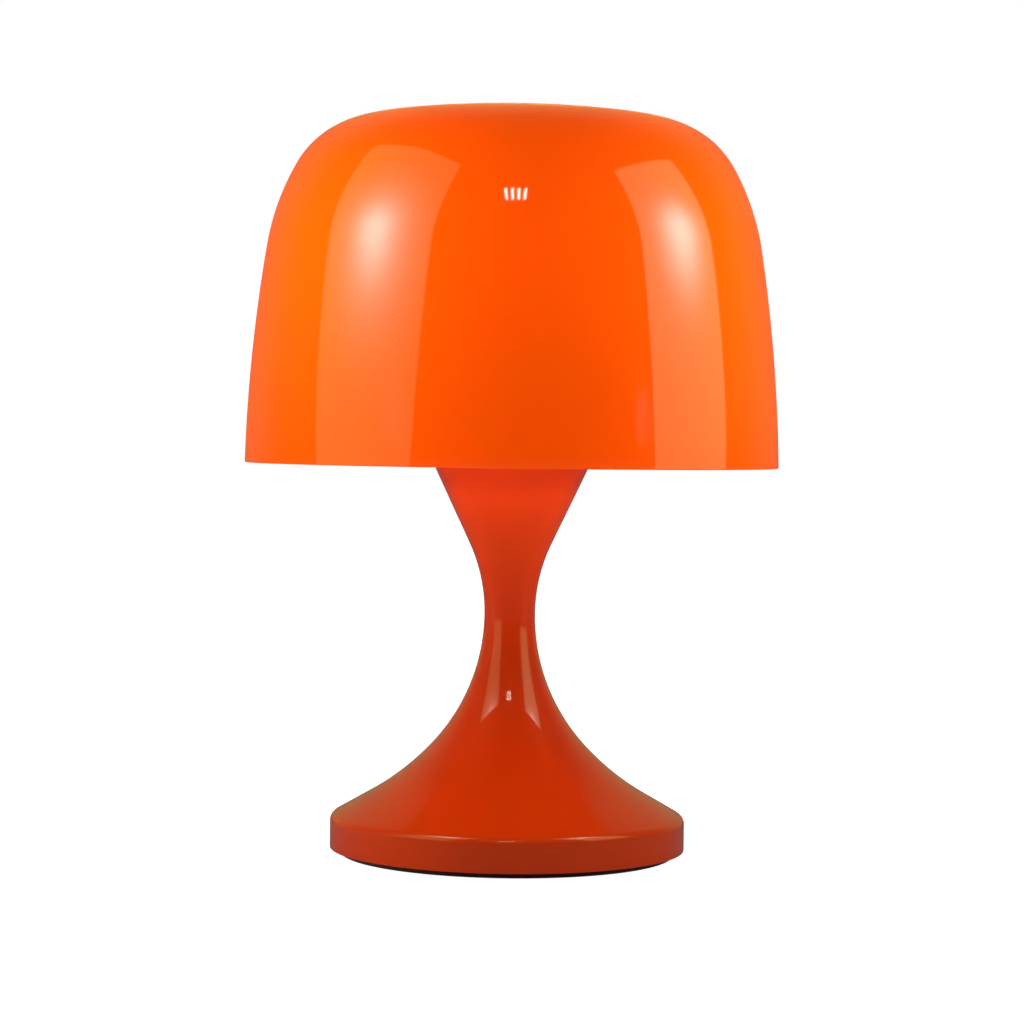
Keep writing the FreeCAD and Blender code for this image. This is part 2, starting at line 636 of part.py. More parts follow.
def make_shade_lugs():
    """Three clear blocks bonded inside the wall, each slotted to drop over a spoke's tip."""
    inner = carrier_ring_radius - LUG_DEPTH_INSIDE_RING
    depth = SHADE_RIM_RADIUS - inner
    leg_depth = SHADE_RIM_RADIUS - tip_start
    slot = TIP_RADIUS + LUG_SLOT_CLEARANCE
    leg_width = LUG_WIDTH / 2 - slot
    body = Part.makeBox(depth, LUG_WIDTH, LUG_HEIGHT,
                        FreeCAD.Vector(inner, -LUG_WIDTH / 2, seat_height))
    legs = [Part.makeBox(leg_depth, leg_width, LUG_LEG_DROP,
                         FreeCAD.Vector(tip_start, y, seat_height - LUG_LEG_DROP))
            for y in (-LUG_WIDTH / 2, slot)]
    lug = body.fuse(legs).removeSplitter()
    inside = shade_inside(SHADE_WALL + LUG_GLUE_LINE)
    return [one.common(inside).Solids[0]
            for one in round_axis(lug, SPOKE_COUNT, SPOKE_FIRST_ANGLE)]


# ---- Bulb
cap_top = bulb_tip + CAP_LENGTH
bulb_top = bulb_tip + BULB_LENGTH
cap_bottom = bulb_tip + CAP_CONTACT_HEIGHT + CAP_INSULATOR_HEIGHT
neck_foot = cap_top - BULB_NECK_INSIDE_CAP


def bulb_steps():
    """Neck, flare, flank and dome; the neck's length makes up the bulb's whole length."""
    flare = math.radians(BULB_FLARE_ANGLE)
    widening = BULB_RADIUS * math.cos(flare) - BULB_NECK_RADIUS
    flank = (widening - BULB_FLARE_ARC * (1 - math.cos(flare))) / math.sin(flare)
    rise = BULB_FLARE_ARC * math.sin(flare) + flank * math.cos(flare)
    dome = BULB_RADIUS * (1 + math.sin(flare))
    neck = bulb_top - neck_foot - rise - dome
    return [("line", neck), ("arc", BULB_FLARE_ARC, BULB_FLARE_ANGLE), ("line", flank),
            ("arc", BULB_RADIUS, -90.0)]


def make_bulb_glass():
    foot = (BULB_NECK_RADIUS, neck_foot)
    outer, outer_top, _ = outline(foot, 0.0, bulb_steps())
    inner, inner_top, _ = outline(foot, 0.0, bulb_steps(), BULB_WALL)
    return spun(outer + inner + [line(outer_top, inner_top),
                                 line(foot, (BULB_NECK_RADIUS - BULB_WALL, neck_foot))])


def make_bulb_screw_cap():
    """The thin threaded shell round the bulb's neck, drawn with a ridge for each turn."""
    bore = CAP_ROOT_RADIUS - CAP_WALL
    points = [(CAP_ROOT_RADIUS, cap_bottom)]
    for k in range(CAP_THREAD_TURNS):
        foot = cap_bottom + CAP_THREAD_START + k * CAP_THREAD_PITCH
        points += [(CAP_ROOT_RADIUS, foot),
                   (CAP_THREAD_RADIUS, foot + CAP_THREAD_PITCH * CAP_CREST_FROM),
                   (CAP_THREAD_RADIUS, foot + CAP_THREAD_PITCH * CAP_CREST_TO),
                   (CAP_ROOT_RADIUS, foot + CAP_THREAD_PITCH)]
    points += [(CAP_ROOT_RADIUS, cap_top), (bore, cap_top), (bore, cap_bottom)]
    return turned(*[p for p, q in zip(points, points[1:] + points[:1]) if p != q])


def make_bulb_insulator():
    bottom = bulb_tip + CAP_CONTACT_HEIGHT
    return turned((0, bottom), (CAP_CONTACT_RADIUS + CAP_INSULATOR_STEP, bottom),
                  (CAP_ROOT_RADIUS - CAP_WALL, cap_bottom), (0, cap_bottom))


def make_bulb_contact():
    return turned((0, bulb_tip), (CAP_CONTACT_FACE_RADIUS, bulb_tip),
                  (CAP_CONTACT_RADIUS, bulb_tip + CAP_CONTACT_BEVEL),
                  (CAP_CONTACT_RADIUS, bulb_tip + CAP_CONTACT_HEIGHT),
                  (0, bulb_tip + CAP_CONTACT_HEIGHT))


def make_bulb_stem():
    """The flared glass stem that seals the neck and carries the filament's wires."""
    foot = neck_foot + BULB_WALL
    radius = BULB_NECK_RADIUS - BULB_WALL - STEM_FLARE_CLEARANCE
    return turned((0, foot), (radius, foot), (radius, foot + BULB_WALL),
                  (STEM_RADIUS, foot + STEM_FLARE_HEIGHT), (STEM_RADIUS, foot + STEM_HEIGHT),
                  (0, foot + STEM_HEIGHT))


def make_bulb_filament():
    """Two support wires that spread from the stem, and the coil's line between their ends."""
    foot = neck_foot + BULB_WALL + STEM_HEIGHT + FILAMENT_RADIUS
    top = foot + FILAMENT_RISE
    half = FILAMENT_SPAN / 2
    inner = STEM_RADIUS / 2
    wires = []
    for side in (-1, 1):
        start = FreeCAD.Vector(side * inner, 0, foot)
        end = FreeCAD.Vector(side * half, 0, top)
        run = end - start
        wires.append(Part.makeCylinder(FILAMENT_RADIUS, run.Length, start, run))
        wires.append(Part.makeSphere(FILAMENT_RADIUS, end))
    wires.append(rod(FILAMENT_RADIUS, FILAMENT_SPAN, -half, 0, top, (1, 0, 0)))
    return wires[0].fuse(wires[1:]).removeSplitter()


# ---- Cord inlet and wiring
barrel_height = block_foot + BARREL_ABOVE_BLOCK_FOOT
poles = {"live": -POLE_PITCH, "neutral": 0.0, "earth": POLE_PITCH}


def make_grommet():
    """The soft bush in the skirt's hole, with a flange inside and out."""
    inner_wall = math.sqrt((CASING_RADIUS - CASING_WALL) ** 2 - INLET_FLANGE_RADIUS ** 2)
    inner_face = inner_wall - INLET_CLEARANCE
    outer_face = CASING_RADIUS + INLET_CLEARANCE
    back = inner_face - INLET_FLANGE_THICKNESS
    along_y = (0, 1, 0)
    neck = rod(INLET_NECK_RADIUS, outer_face - inner_face, 0, inner_face, INLET_HEIGHT, along_y)
    flanges = [rod(INLET_FLANGE_RADIUS, INLET_FLANGE_THICKNESS, 0, y, INLET_HEIGHT, along_y)
               for y in (back, outer_face)]
    length = outer_face + INLET_FLANGE_THICKNESS - back
    bore = rod(INLET_BORE_RADIUS, length, 0, back, INLET_HEIGHT, along_y)
    return neck.fuse(flanges).cut(bore).removeSplitter()


def pole_screw_places():
    return [(x, block_front + BLOCK_DEPTH * share) for x in poles.values() for share in (0.25, 0.75)]


def make_terminal_block():
    body = block(BLOCK_LENGTH, BLOCK_DEPTH, BLOCK_HEIGHT, 0, block_front, block_foot)
    cuts = [rod(BARREL_RADIUS + HOLE_CLEARANCE, BLOCK_DEPTH, x, block_front, barrel_height, (0, 1, 0))
            for x in poles.values()]
    cuts += [rod(POLE_SCREW_RADIUS + HOLE_CLEARANCE, BARREL_ABOVE_BLOCK_FOOT, x, y, block_foot)
             for x, y in pole_screw_places()]
    cuts += [rod(BLOCK_SCREW_RADIUS + HOLE_CLEARANCE, BLOCK_HEIGHT, x,
                 block_front + BLOCK_DEPTH / 2, block_foot) for x in block_screw_xs]
    return body.cut(cuts)


def make_terminal_barrels():
    taps = [rod(POLE_SCREW_RADIUS + THREAD_CLEARANCE, BARREL_ABOVE_BLOCK_FOOT, x, y, block_foot)
            for x, y in pole_screw_places()]
    barrels = []
    for x in poles.values():
        place = (x, block_front + BARREL_INSET, barrel_height, (0, 1, 0))
        barrel = rod(BARREL_RADIUS, BLOCK_DEPTH - 2 * BARREL_INSET, *place)
        bore = rod(BARREL_BORE_RADIUS, BLOCK_DEPTH - 2 * BARREL_INSET, *place)
        barrels.append(barrel.cut(bore).cut(taps))
    return barrels


def make_pole_screws():
    """The six small screws that grip the conductors, let into the block from below."""
    length = BARREL_ABOVE_BLOCK_FOOT - LEAD_RADIUS - HOLE_CLEARANCE
    return [rod(POLE_SCREW_RADIUS, length, x, y, block_foot) for x, y in pole_screw_places()]


def make_block_screws():
    length = BLOCK_HEIGHT + BLOCK_SCREW_DEPTH
    return [rod(BLOCK_SCREW_RADIUS, length, x, block_front + BLOCK_DEPTH / 2, block_foot)
            for x in block_screw_xs]


def make_supply_lead(pole, side):
    """A lead from its pole, through the tube, to the terminal on that side of the lampholder."""
    inside_tube = side * LEAD_SPREAD_IN_TUBE
    fan_out = side * TERMINAL_SPREAD
    terminal_foot = insert_bottom - TERMINAL_DROP
    points = [
        (poles[pole], block_front + LEAD_ENTRY, barrel_height),
        (poles[pole], block_front - 6.0, barrel_height),
        (inside_tube, 10.0, barrel_height),
        (inside_tube, 0.0, barrel_height),
        (inside_tube, 0.0, tube_top + 1.5),
        (fan_out, 0.0, terminal_foot - 4.5),
        (fan_out, 0.0, terminal_foot + TERMINAL_BORE_DEPTH - HOLE_CLEARANCE),
    ]
    return lead(points, [8.0, 8.0, 5.0, 4.0, 4.0])


tag_height = ballast_bottom - EARTH_TAG_THICKNESS
tag_tail = (EARTH_X + EARTH_TAIL_X, EARTH_Y + EARTH_TAIL_Y)


def make_earth_lead():
    points = [
        (poles["earth"], block_front + LEAD_ENTRY, barrel_height),
        (poles["earth"], block_front - 3.0, barrel_height),
        (tag_tail[0] - 2.5, tag_tail[1] + 2.0, tag_height - LEAD_RADIUS),
        (tag_tail[0] + 1.5, tag_tail[1] - 1.1, tag_height - LEAD_RADIUS),
    ]
    return lead(points, [3.5, 3.5])


def make_earth_tag():
    """A flat ring with a tail that the earth lead is soldered to."""
    ring = rod(EARTH_TAG_RADIUS, EARTH_TAG_THICKNESS, EARTH_X, EARTH_Y, tag_height)
    angle = math.degrees(math.atan2(EARTH_TAIL_Y, EARTH_TAIL_X))
    length = math.hypot(EARTH_TAIL_X, EARTH_TAIL_Y)
    tail = Part.makeBox(length, EARTH_TAIL_WIDTH, EARTH_TAG_THICKNESS,
                        FreeCAD.Vector(0, -EARTH_TAIL_WIDTH / 2, 0))
    tail.rotate(FreeCAD.Vector(0, 0, 0), FreeCAD.Vector(0, 0, 1), angle)
    tail.translate(FreeCAD.Vector(EARTH_X, EARTH_Y, tag_height))
    hole = rod(EARTH_SCREW_RADIUS + HOLE_CLEARANCE, EARTH_TAG_THICKNESS, EARTH_X, EARTH_Y, tag_height)
    return ring.fuse(tail).cut(hole).removeSplitter()


def make_earth_screw():
    head = rod(EARTH_SCREW_HEAD_RADIUS, EARTH_SCREW_HEAD_HEIGHT, EARTH_X, EARTH_Y,
               tag_height - EARTH_SCREW_HEAD_HEIGHT)
    shank = rod(EARTH_SCREW_RADIUS, EARTH_TAG_THICKNESS + EARTH_SCREW_DEPTH, EARTH_X, EARTH_Y,
                tag_height)
    return head.fuse(shank).removeSplitter()


# ---- Write every piece
save("casing", make_casing())
save("foot_pad", make_pad())
save("base_plate", make_base_plate())
save("base_screws", *base_screw_set(0.0))
save("ballast", make_ballast())
save("centre_tube", tube(TUBE_BORE_RADIUS, TUBE_RADIUS, tube_top - tube_bottom, z=tube_bottom))
save("lower_washer", make_washer(lower_nut_top))
save("lower_nut", make_nut(lower_nut_top - NUT_HEIGHT))
save("top_plate", make_top_plate())
save("tooth_washer", make_tooth_washer(top_plate_top))
save("upper_nut", make_nut(upper_nut_bottom))
save("holder_cap", make_holder_cap())
save("holder_sleeve", make_holder_sleeve())
save("holder_insert", make_holder_insert())
save("holder_screw_shell", make_screw_shell())
save("holder_centre_contact", make_centre_contact())
save("holder_terminals", *terminal_pair(make_terminal))
save("holder_terminal_screws", *terminal_pair(make_terminal_screw))
save("shade_ring", make_shade_ring())
save("shade_carrier", make_shade_carrier())
save("carrier_tips", *make_carrier_tips())
save("shade", make_shade())
save("shade_lugs", *make_shade_lugs())
save("bulb_glass", make_bulb_glass())
save("bulb_screw_cap", make_bulb_screw_cap())
save("bulb_insulator", make_bulb_insulator())
save("bulb_contact", make_bulb_contact())
save("bulb_stem", make_bulb_stem())
save("bulb_filament", make_bulb_filament())
save("cord_grommet", make_grommet())
save("terminal_block", make_terminal_block())
save("terminal_barrels", *make_terminal_barrels())
save("terminal_block_screws", *make_pole_screws())
save("block_fixing_screws", *make_block_screws())
save("live_lead", make_supply_lead("live", -1))
save("neutral_lead", make_supply_lead("neutral", 1))
save("earth_lead", make_earth_lead())
save("earth_tag", make_earth_tag())
save("earth_screw", make_earth_screw())
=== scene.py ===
"""The looks of a mushroom table lamp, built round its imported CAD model.

Metres, in the CAD frame: the origin is on the table under the lamp's axis, +Z is up and the front
is -Y. Each new piece is a surface worked out with numpy, apart from the lugs, which are bevelled
copies of the CAD blocks. Each has its place in its mesh.
"""
import json
import math

import bmesh
import bpy
import numpy as np
from bpy.props import FloatProperty, FloatVectorProperty, IntProperty, PointerProperty
from mathutils import Matrix, Vector


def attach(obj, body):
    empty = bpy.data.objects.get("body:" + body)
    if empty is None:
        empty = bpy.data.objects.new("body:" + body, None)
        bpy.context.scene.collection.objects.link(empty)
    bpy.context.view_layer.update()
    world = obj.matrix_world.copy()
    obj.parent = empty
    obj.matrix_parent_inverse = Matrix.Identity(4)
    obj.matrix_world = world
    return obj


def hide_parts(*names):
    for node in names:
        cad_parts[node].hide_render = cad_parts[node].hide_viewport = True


bl_info = {
    "name": "Mushroom Table Lamp",
    "version": (1, 0, 0),
    "blender": (4, 5, 0),
    "location": "View3D > Sidebar > Lamp",
    "description": "Builds a dome-shaded table lamp, with its finishes and studio",
    "category": "Object",
}

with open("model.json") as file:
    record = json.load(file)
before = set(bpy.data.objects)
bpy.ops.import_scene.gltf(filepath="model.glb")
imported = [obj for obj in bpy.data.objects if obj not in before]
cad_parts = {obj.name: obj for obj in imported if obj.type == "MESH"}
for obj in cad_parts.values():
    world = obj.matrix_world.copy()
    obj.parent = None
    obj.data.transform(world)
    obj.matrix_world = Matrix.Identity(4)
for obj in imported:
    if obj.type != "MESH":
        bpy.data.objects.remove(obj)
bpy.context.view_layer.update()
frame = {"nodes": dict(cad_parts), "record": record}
TAU = 2 * math.pi
WELD = 2e-7  # Points nearer than this become one, which closes seams and poles.


# ---- Surfaces
def outline(start, heading, runs, inset=0.0, turn_step=2.0):
    """Points (radius, height) of a smooth outline, walked from start with its outside on the right.

    A heading is in degrees from straight up towards outwards. A run is ("line", length, cells) or
    ("arc", radius, heading at its end). A point of an arc is its centre less side * R times
    (-cos h, sin h), as the heading h goes evenly from one end to the other; side is 1 where the
    heading falls and -1 where it rises. So each run leaves in the direction in which the last one
    ended. inset moves the whole outline to its left.
    """
    left = np.array([-math.cos(math.radians(heading)), math.sin(math.radians(heading))])
    point = np.array(start) + inset * left
    pieces = [point[None]]
    for kind, size, last in runs:
        angle = math.radians(heading)
        if kind == "line":
            shares = np.linspace(0, 1, last + 1)[1:, None]
            pieces.append(point + shares * size * np.array([math.sin(angle), math.cos(angle)]))
        else:
            side = 1 if last < heading else -1
            radius = size - side * inset
            centre = point + side * radius * np.array([-math.cos(angle), math.sin(angle)])
            count = max(2, math.ceil(abs(last - heading) / turn_step))
            h = np.radians(np.linspace(heading, last, count + 1)[1:])
            pieces.append(centre - side * radius * np.stack([-np.cos(h), np.sin(h)], -1))
            heading = last
        point = pieces[-1][-1]
    return np.concatenate(pieces)


def rounded(corners, radii, steps=5):
    """A run of corners with each one replaced by an arc of its own radius.

    The arc touches both sides at radius / tan(half the corner's angle) from the corner, and its
    points are the arc's centre plus the radius times the directions between the two touching
    points, turned evenly. A radius of 0 keeps the corner. The run is taken as closed, so an open
    one has a radius of 0 at both ends.
    """
    corners = np.asarray(corners, float)
    out = []
    sides = zip(np.roll(corners, 1, 0), corners, np.roll(corners, -1, 0), radii)
    for before, corner, after, radius in sides:
        if radius == 0:
            out.append(corner[None])
            continue
        a = (before - corner) / np.linalg.norm(before - corner)
        b = (after - corner) / np.linalg.norm(after - corner)
        half = math.acos(np.clip(a @ b, -1, 1)) / 2
        centre = corner + (a + b) / np.linalg.norm(a + b) * radius / math.sin(half)
        first = corner + a * radius / math.tan(half) - centre
        last = corner + b * radius / math.tan(half) - centre
        share = np.linspace(0, 1, steps + 1)[:, None]
        spread = math.pi - 2 * half
        turned = np.sin((1 - share) * spread) * first + np.sin(share * spread) * last
        out.append(centre + turned / math.sin(spread))
    return np.concatenate(out)


def spun(profile, columns, swell=0.0):
    """A grid of points: each profile point (r, z) at evenly spaced angles round the lamp's axis.

    A point is (r sin a, -r cos a, z), so the first column faces the front. swell is added to r.
    """
    a = np.arange(columns) * TAU / columns
    r = profile[:, :1] + swell
    z = np.broadcast_to(profile[:, 1:], (len(profile), columns))
    return np.stack([r * np.sin(a), -r * np.cos(a), z], -1)


def upright(radius, heights):
    """Profile points (radius, height), one above another."""
    return np.stack([np.full(len(heights), radius), heights], -1)


def cells(grid, wrap_rows, wrap_columns, kept=None):
    """(points, quads) of a grid: a quad joins two neighbours in a row to the two in the next row.

    A wrapped direction joins its last line to its first. kept marks the quads that stay.
    """
    rows, columns = grid.shape[:2]
    index = np.arange(rows * columns).reshape(rows, columns)
    if wrap_rows:
        index = np.vstack([index, index[:1]])
    if wrap_columns:
        index = np.hstack([index, index[:, :1]])
    quads = np.stack([index[:-1, :-1], index[:-1, 1:], index[1:, 1:], index[1:, :-1]], -1)
    if kept is not None:
        quads = quads[kept]
    return grid.reshape(-1, 3), quads.reshape(-1, 4)


def linked(name, data):
    """A new object at the origin, in the scene."""
    obj = bpy.data.objects.new(name, data)
    bpy.context.scene.collection.objects.link(obj)
    return obj


def piece(name, patches, sharp):
    """An object from (points, quads) patches, its seams and poles closed and its faces outward."""
    points, quads, offset = [], [], 0
    for p, q in patches:
        points.append(p)
        quads.append(q + offset)
        offset += len(p)
    mesh = bpy.data.meshes.new(name)
    mesh.from_pydata(np.concatenate(points).tolist(), [], np.concatenate(quads).tolist())
    shell = bmesh.new()
    shell.from_mesh(mesh)
    bmesh.ops.remove_doubles(shell, verts=shell.verts, dist=WELD)
    bmesh.ops.recalc_face_normals(shell, faces=shell.faces)
    shell.to_mesh(mesh)
    shell.free()
    mesh.validate()
    mesh.polygons.foreach_set("use_smooth", np.ones(len(mesh.polygons), bool))
    mesh.set_sharp_from_angle(angle=math.radians(sharp))
    return linked(name, mesh)


def place(obj, body, node, slot):
    """The piece stands for a CAD node: it rides on the node's body and takes the slot's finish."""
    obj.data.materials.clear()
    obj.data.materials.append(finish(slot))
    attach(obj, body)
    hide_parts(node)


def build(name, patches, body, node, slot, sharp=40.0):
    """A new piece, made from its patches and put in the place of its CAD node."""
    place(piece(name, patches, sharp), body, node, slot)


# ---- Materials
def set_inputs(tree, node, inputs):
    """Sets a node's inputs, by name or number, to values, or links other nodes' outputs to them."""
    for socket, value in inputs.items():
        if isinstance(value, bpy.types.NodeSocket):
            tree.links.new(value, node.inputs[socket])
        else:
            node.inputs[socket].default_value = value


def add(tree, kind, inputs=None, **settings):
    """A new shader node with its settings and inputs."""
    node = tree.nodes.new("ShaderNode" + kind)
    for setting, value in settings.items():
        setattr(node, setting, value)
    set_inputs(tree, node, inputs or {})
    return node


def finish(name):
    """The named finish: made the first time, and the same material after that."""
    made = bpy.data.materials.get("looks_" + name)
    if not made:
        made = bpy.data.materials.new("looks_" + name)
        made.use_nodes = True
        FINISHES[name](made.node_tree, made.node_tree.nodes["Principled BSDF"])
    return made


def noise(tree, scale, detail, roughness=0.55, stretch=(1, 1, 1), distortion=0.0):
    """A noise pattern's value on Object coordinates, with scale in waves per metre."""
    here = add(tree, "TexCoord").outputs["Object"]
    mapping = add(tree, "Mapping", {"Vector": here, "Scale": stretch})
    pattern = add(tree, "TexNoise", {
        "Vector": mapping.outputs["Vector"], "Scale": scale, "Detail": detail,
        "Roughness": roughness, "Distortion": distortion})
    return pattern.outputs["Fac"]


def joined(tree, kind, *values):
    """A Math node's result, from numbers and other nodes' outputs."""
    return add(tree, "Math", dict(enumerate(values)), operation=kind).outputs[0]


def ranged(tree, value, from_min, from_max, to_min, to_max, **settings):
    """A number mapped from one range to another."""
    inputs = {"Value": value, "From Min": from_min, "From Max": from_max, "To Min": to_min,
              "To Max": to_max}
    return add(tree, "MapRange", inputs, **settings).outputs["Result"]


def between(tree, pattern, low, high, start=0.3, end=0.7):
    """Maps a pattern's start..end to low..high: a number or a colour."""
    if isinstance(low, (int, float)):
        return ranged(tree, pattern, start, end, low, high)
    ramp = add(tree, "ValToRGB", {"Fac": pattern})
    for stop, position, colour in zip(ramp.color_ramp.elements, (start, end), (low, high)):
        stop.position = position
        stop.color = (*colour, 1)
    return ramp.outputs["Color"]


def dress(tree, shader, colour, rough, heights, even):
    """Gives a shader its colour, its roughness, its own even values and a bumped skin.

    heights are (pattern value, height in metres) pairs, one bump on top of another.
    """
    skin = {}
    for value, height in heights:
        bump = add(tree, "Bump", {"Distance": height, "Height": value, **skin})
        skin = {"Normal": bump.outputs["Normal"]}
    set_inputs(tree, shader, {"Base Color": colour, "Roughness": rough, **skin, **even})


def surface(tree, shader, low, high, patch, rough, rough_patch, grain, even):
    """A finish: its colour wanders from low to high, its roughness over rough, its skin over grain.

    patch and rough_patch are (waves per metre, detail); grain is a list of (waves per metre,
    detail, height in metres). even holds the shader's own even values.
    """
    colour = between(tree, noise(tree, *patch), low, high)
    worn = between(tree, noise(tree, *rough_patch), *rough)
    heights = [(noise(tree, scale, detail), height) for scale, detail, height in grain]
    dress(tree, shader, colour, worn, heights, even)


def shaded(colour, share):
    """A colour made lighter or darker by a share."""
    return tuple(min(1.0, c * (1 + share)) for c in colour)


def clouded(tree, colour):
    """A colour that drifts a little darker and lighter in wide patches."""
    return between(tree, noise(tree, 9, 2), shaded(colour, -0.03), shaded(colour, 0.02))


def let_through(tree, shader, colour, share):
    """Lets a share of the light go on through each face, spread evenly and tinted."""
    through = add(tree, "BsdfTranslucent", {"Color": clouded(tree, colour)})
    both = add(tree, "MixShader", {
        "Fac": share, 1: shader.outputs["BSDF"], 2: through.outputs["BSDF"]})
    set_inputs(tree, tree.nodes["Material Output"], {"Surface": both.outputs["Shader"]})


def opal_acrylic(tree, shader):
    """Polished opal acrylic: part of the light comes back tinted, part goes through it."""
    s = bpy.context.scene.lamp_shade
    dress(tree, shader, clouded(tree, tuple(s.colour)),
          between(tree, noise(tree, 40, 4), 0.035, 0.075),
          [(noise(tree, 14, 1), 0.00006), (noise(tree, 300, 2), 0.0000006)],
          {"IOR": 1.49, "Specular IOR Level": s.shine, "Coat Weight": 0.4, "Sheen Weight": 0.8,
           "Sheen Roughness": 0.35, "Sheen Tint": (1.0, 0.5, 0.15, 1)})
    let_through(tree, shader, tuple(s.glow), s.opal)


def gloss_lacquer(tree, shader):
    """Sprayed gloss lacquer on spun metal: an even colour under a clear coat, faintly rippled."""
    colour = tuple(bpy.context.scene.lamp_casing.colour)
    surface(tree, shader, shaded(colour, -0.04), shaded(colour, 0.03), (14, 2), (0.28, 0.36),
            (60, 4), [(260, 2, 0.0000045), (24, 1, 0.00002)],
            {"IOR": 1.45, "Specular IOR Level": 0.1, "Coat Weight": 0.75, "Coat Roughness": 0.03,
             "Coat IOR": 1.5})


def pressed_felt(tree, shader):
    """Dark pressed felt: short fibres that lie every way, with a painted highlight that makes them
    lighter where they stand up.
    """
    fibres = noise(tree, 2600, 5, 0.7, distortion=1.2)
    # The fibre pattern raises the bump and lightens the colour: random fibre tone plus a painted
    # highlight on the raised fibres.
    dress(tree, shader, between(tree, fibres, (0.026, 0.004, 0.004), (0.080, 0.015, 0.012)),
          between(tree, noise(tree, 300, 3), 0.86, 1.0),
          [(noise(tree, 160, 3), 0.0002), (fibres, 0.00012)],
          {"Sheen Weight": 0.25, "Sheen Roughness": 0.6, "Specular IOR Level": 0.2})


def metal(tree, shader, colour, tint, rough, grain=0.000004, stretch=(1, 1, 1)):
    """A bare or plated metal: its colour drifts to its tint in patches, over fine drawn lines."""
    lines = noise(tree, 1800, 3, 0.6, stretch)
    dress(tree, shader, between(tree, noise(tree, 70, 5, 0.6), colour, tint),
          between(tree, lines, *rough), [(lines, grain)], {"Metallic": 1.0})


def zinc_plate(tree, shader):
    """Bright zinc plating on steel, a little yellow in patches."""
    metal(tree, shader, (0.52, 0.53, 0.53), (0.62, 0.61, 0.56), (0.24, 0.42))


def bright_wire(tree, shader):
    """Steel wire with a bright nickel plating, nearly a mirror."""
    metal(tree, shader, (0.78, 0.79, 0.80), (0.70, 0.71, 0.73), (0.07, 0.18), 0.000001)


def cast_iron(tree, shader):
    """Raw cast iron: dark and dull, with the grain of the sand that it was cast in."""
    sand = noise(tree, 1100, 5, 0.7)
    dress(tree, shader, between(tree, sand, (0.030, 0.028, 0.028), (0.075, 0.070, 0.066)),
          between(tree, noise(tree, 200, 4), 0.55, 0.8),
          [(noise(tree, 90, 3), 0.0003), (sand, 0.0002)], {"Metallic": 0.7})


def black_moulding(tree, shader):
    """Phenolic moulding: near black with a faint mottle from the filler, polished by the mould."""
    surface(tree, shader, (0.006, 0.005, 0.005), (0.016, 0.013, 0.012), (420, 5), (0.16, 0.32),
            (120, 4), [(700, 3, 0.000006)], {"Specular IOR Level": 0.55})


def unglazed_ceramic(tree, shader):
    """Fired ceramic without a glaze: off-white, matt and faintly granular."""
    surface(tree, shader, (0.70, 0.67, 0.60), (0.82, 0.80, 0.75), (500, 5), (0.42, 0.6), (300, 3),
            [(1500, 3, 0.00001)], {"Subsurface Weight": 0.15, "Subsurface Scale": 0.001})


def plain_brass(tree, shader):
    """Bare brass, browner in patches where it has been handled."""
    metal(tree, shader, (0.72, 0.50, 0.20), (0.56, 0.36, 0.13), (0.18, 0.38))


def soft_rubber(tree, shader):
    """Black rubber: matt, with a fine dusty grain."""
    surface(tree, shader, (0.010, 0.010, 0.010), (0.024, 0.023, 0.022), (240, 4), (0.6, 0.85),
            (200, 4), [(1300, 4, 0.00002)], {"Specular IOR Level": 0.35})


def clear_acrylic(tree, shader):
    """Cut acrylic, polished on its faces, bonded to the orange dome; its pink-orange colour is
    painted light, the dome's orange glow shining through it.
    """
    # The two pinkish oranges are painted light, the dome's glow through the clear block, not the
    # acrylic's own colour.
    surface(tree, shader, (0.90, 0.55, 0.36), (0.97, 0.66, 0.46), (90, 3), (0.10, 0.24), (200, 3),
            [(800, 3, 0.000006)],
            {"IOR": 1.49, "Transmission Weight": 0.45, "Subsurface Weight": 0.3,
             "Subsurface Scale": 0.004})


def frosted_glass(tree, shader):
    """Bulb glass, etched inside so that it spreads light: milky, smooth outside, faintly uneven."""
    white = (0.90, 0.90, 0.88)
    dress(tree, shader, between(tree, noise(tree, 60, 3), (0.84, 0.84, 0.81), white),
          between(tree, noise(tree, 180, 3), 0.10, 0.18), [(noise(tree, 90, 2), 0.00001)],
          {"IOR": 1.5})
    let_through(tree, shader, white, 0.45)


def clear_glass(tree, shader):
    """The clear glass of the bulb's inner stem, with a trace of green."""
    surface(tree, shader, (0.90, 0.94, 0.93), (0.97, 0.99, 0.98), (80, 2), (0.02, 0.08), (200, 3),
            [(400, 2, 0.000004)], {"IOR": 1.5, "Transmission Weight": 1.0})


def cap_aluminium(tree, shader):
    """Rolled aluminium, with fine lines that run round the bulb's cap."""
    metal(tree, shader, (0.74, 0.74, 0.73), (0.62, 0.62, 0.60), (0.22, 0.42), 0.000006, (1, 1, 9))


def dull_wire(tree, shader):
    """The filament's dark wire."""
    metal(tree, shader, (0.20, 0.20, 0.21), (0.32, 0.31, 0.30), (0.35, 0.55))


def white_nylon(tree, shader):
    """Moulded nylon: off-white, satin and faintly waxy."""
    surface(tree, shader, (0.74, 0.73, 0.68), (0.83, 0.82, 0.78), (160, 4), (0.35, 0.52), (300, 4),
            [(1100, 3, 0.00001)], {"Subsurface Weight": 0.5, "Subsurface Scale": 0.003})


def vinyl(tree, shader, colours):
    """Soft vinyl insulation, given its colours."""
    dress(tree, shader, colours, between(tree, noise(tree, 500, 3), 0.28, 0.46),
          [(noise(tree, 1500, 3), 0.000006)], {})


def plain_vinyl(colour):
    """A maker of vinyl whose one colour drifts a little."""
    def make(tree, shader):
        vinyl(tree, shader, between(tree, noise(tree, 180, 4), shaded(colour, -0.12),
                                    shaded(colour, 0.10)))
    return make


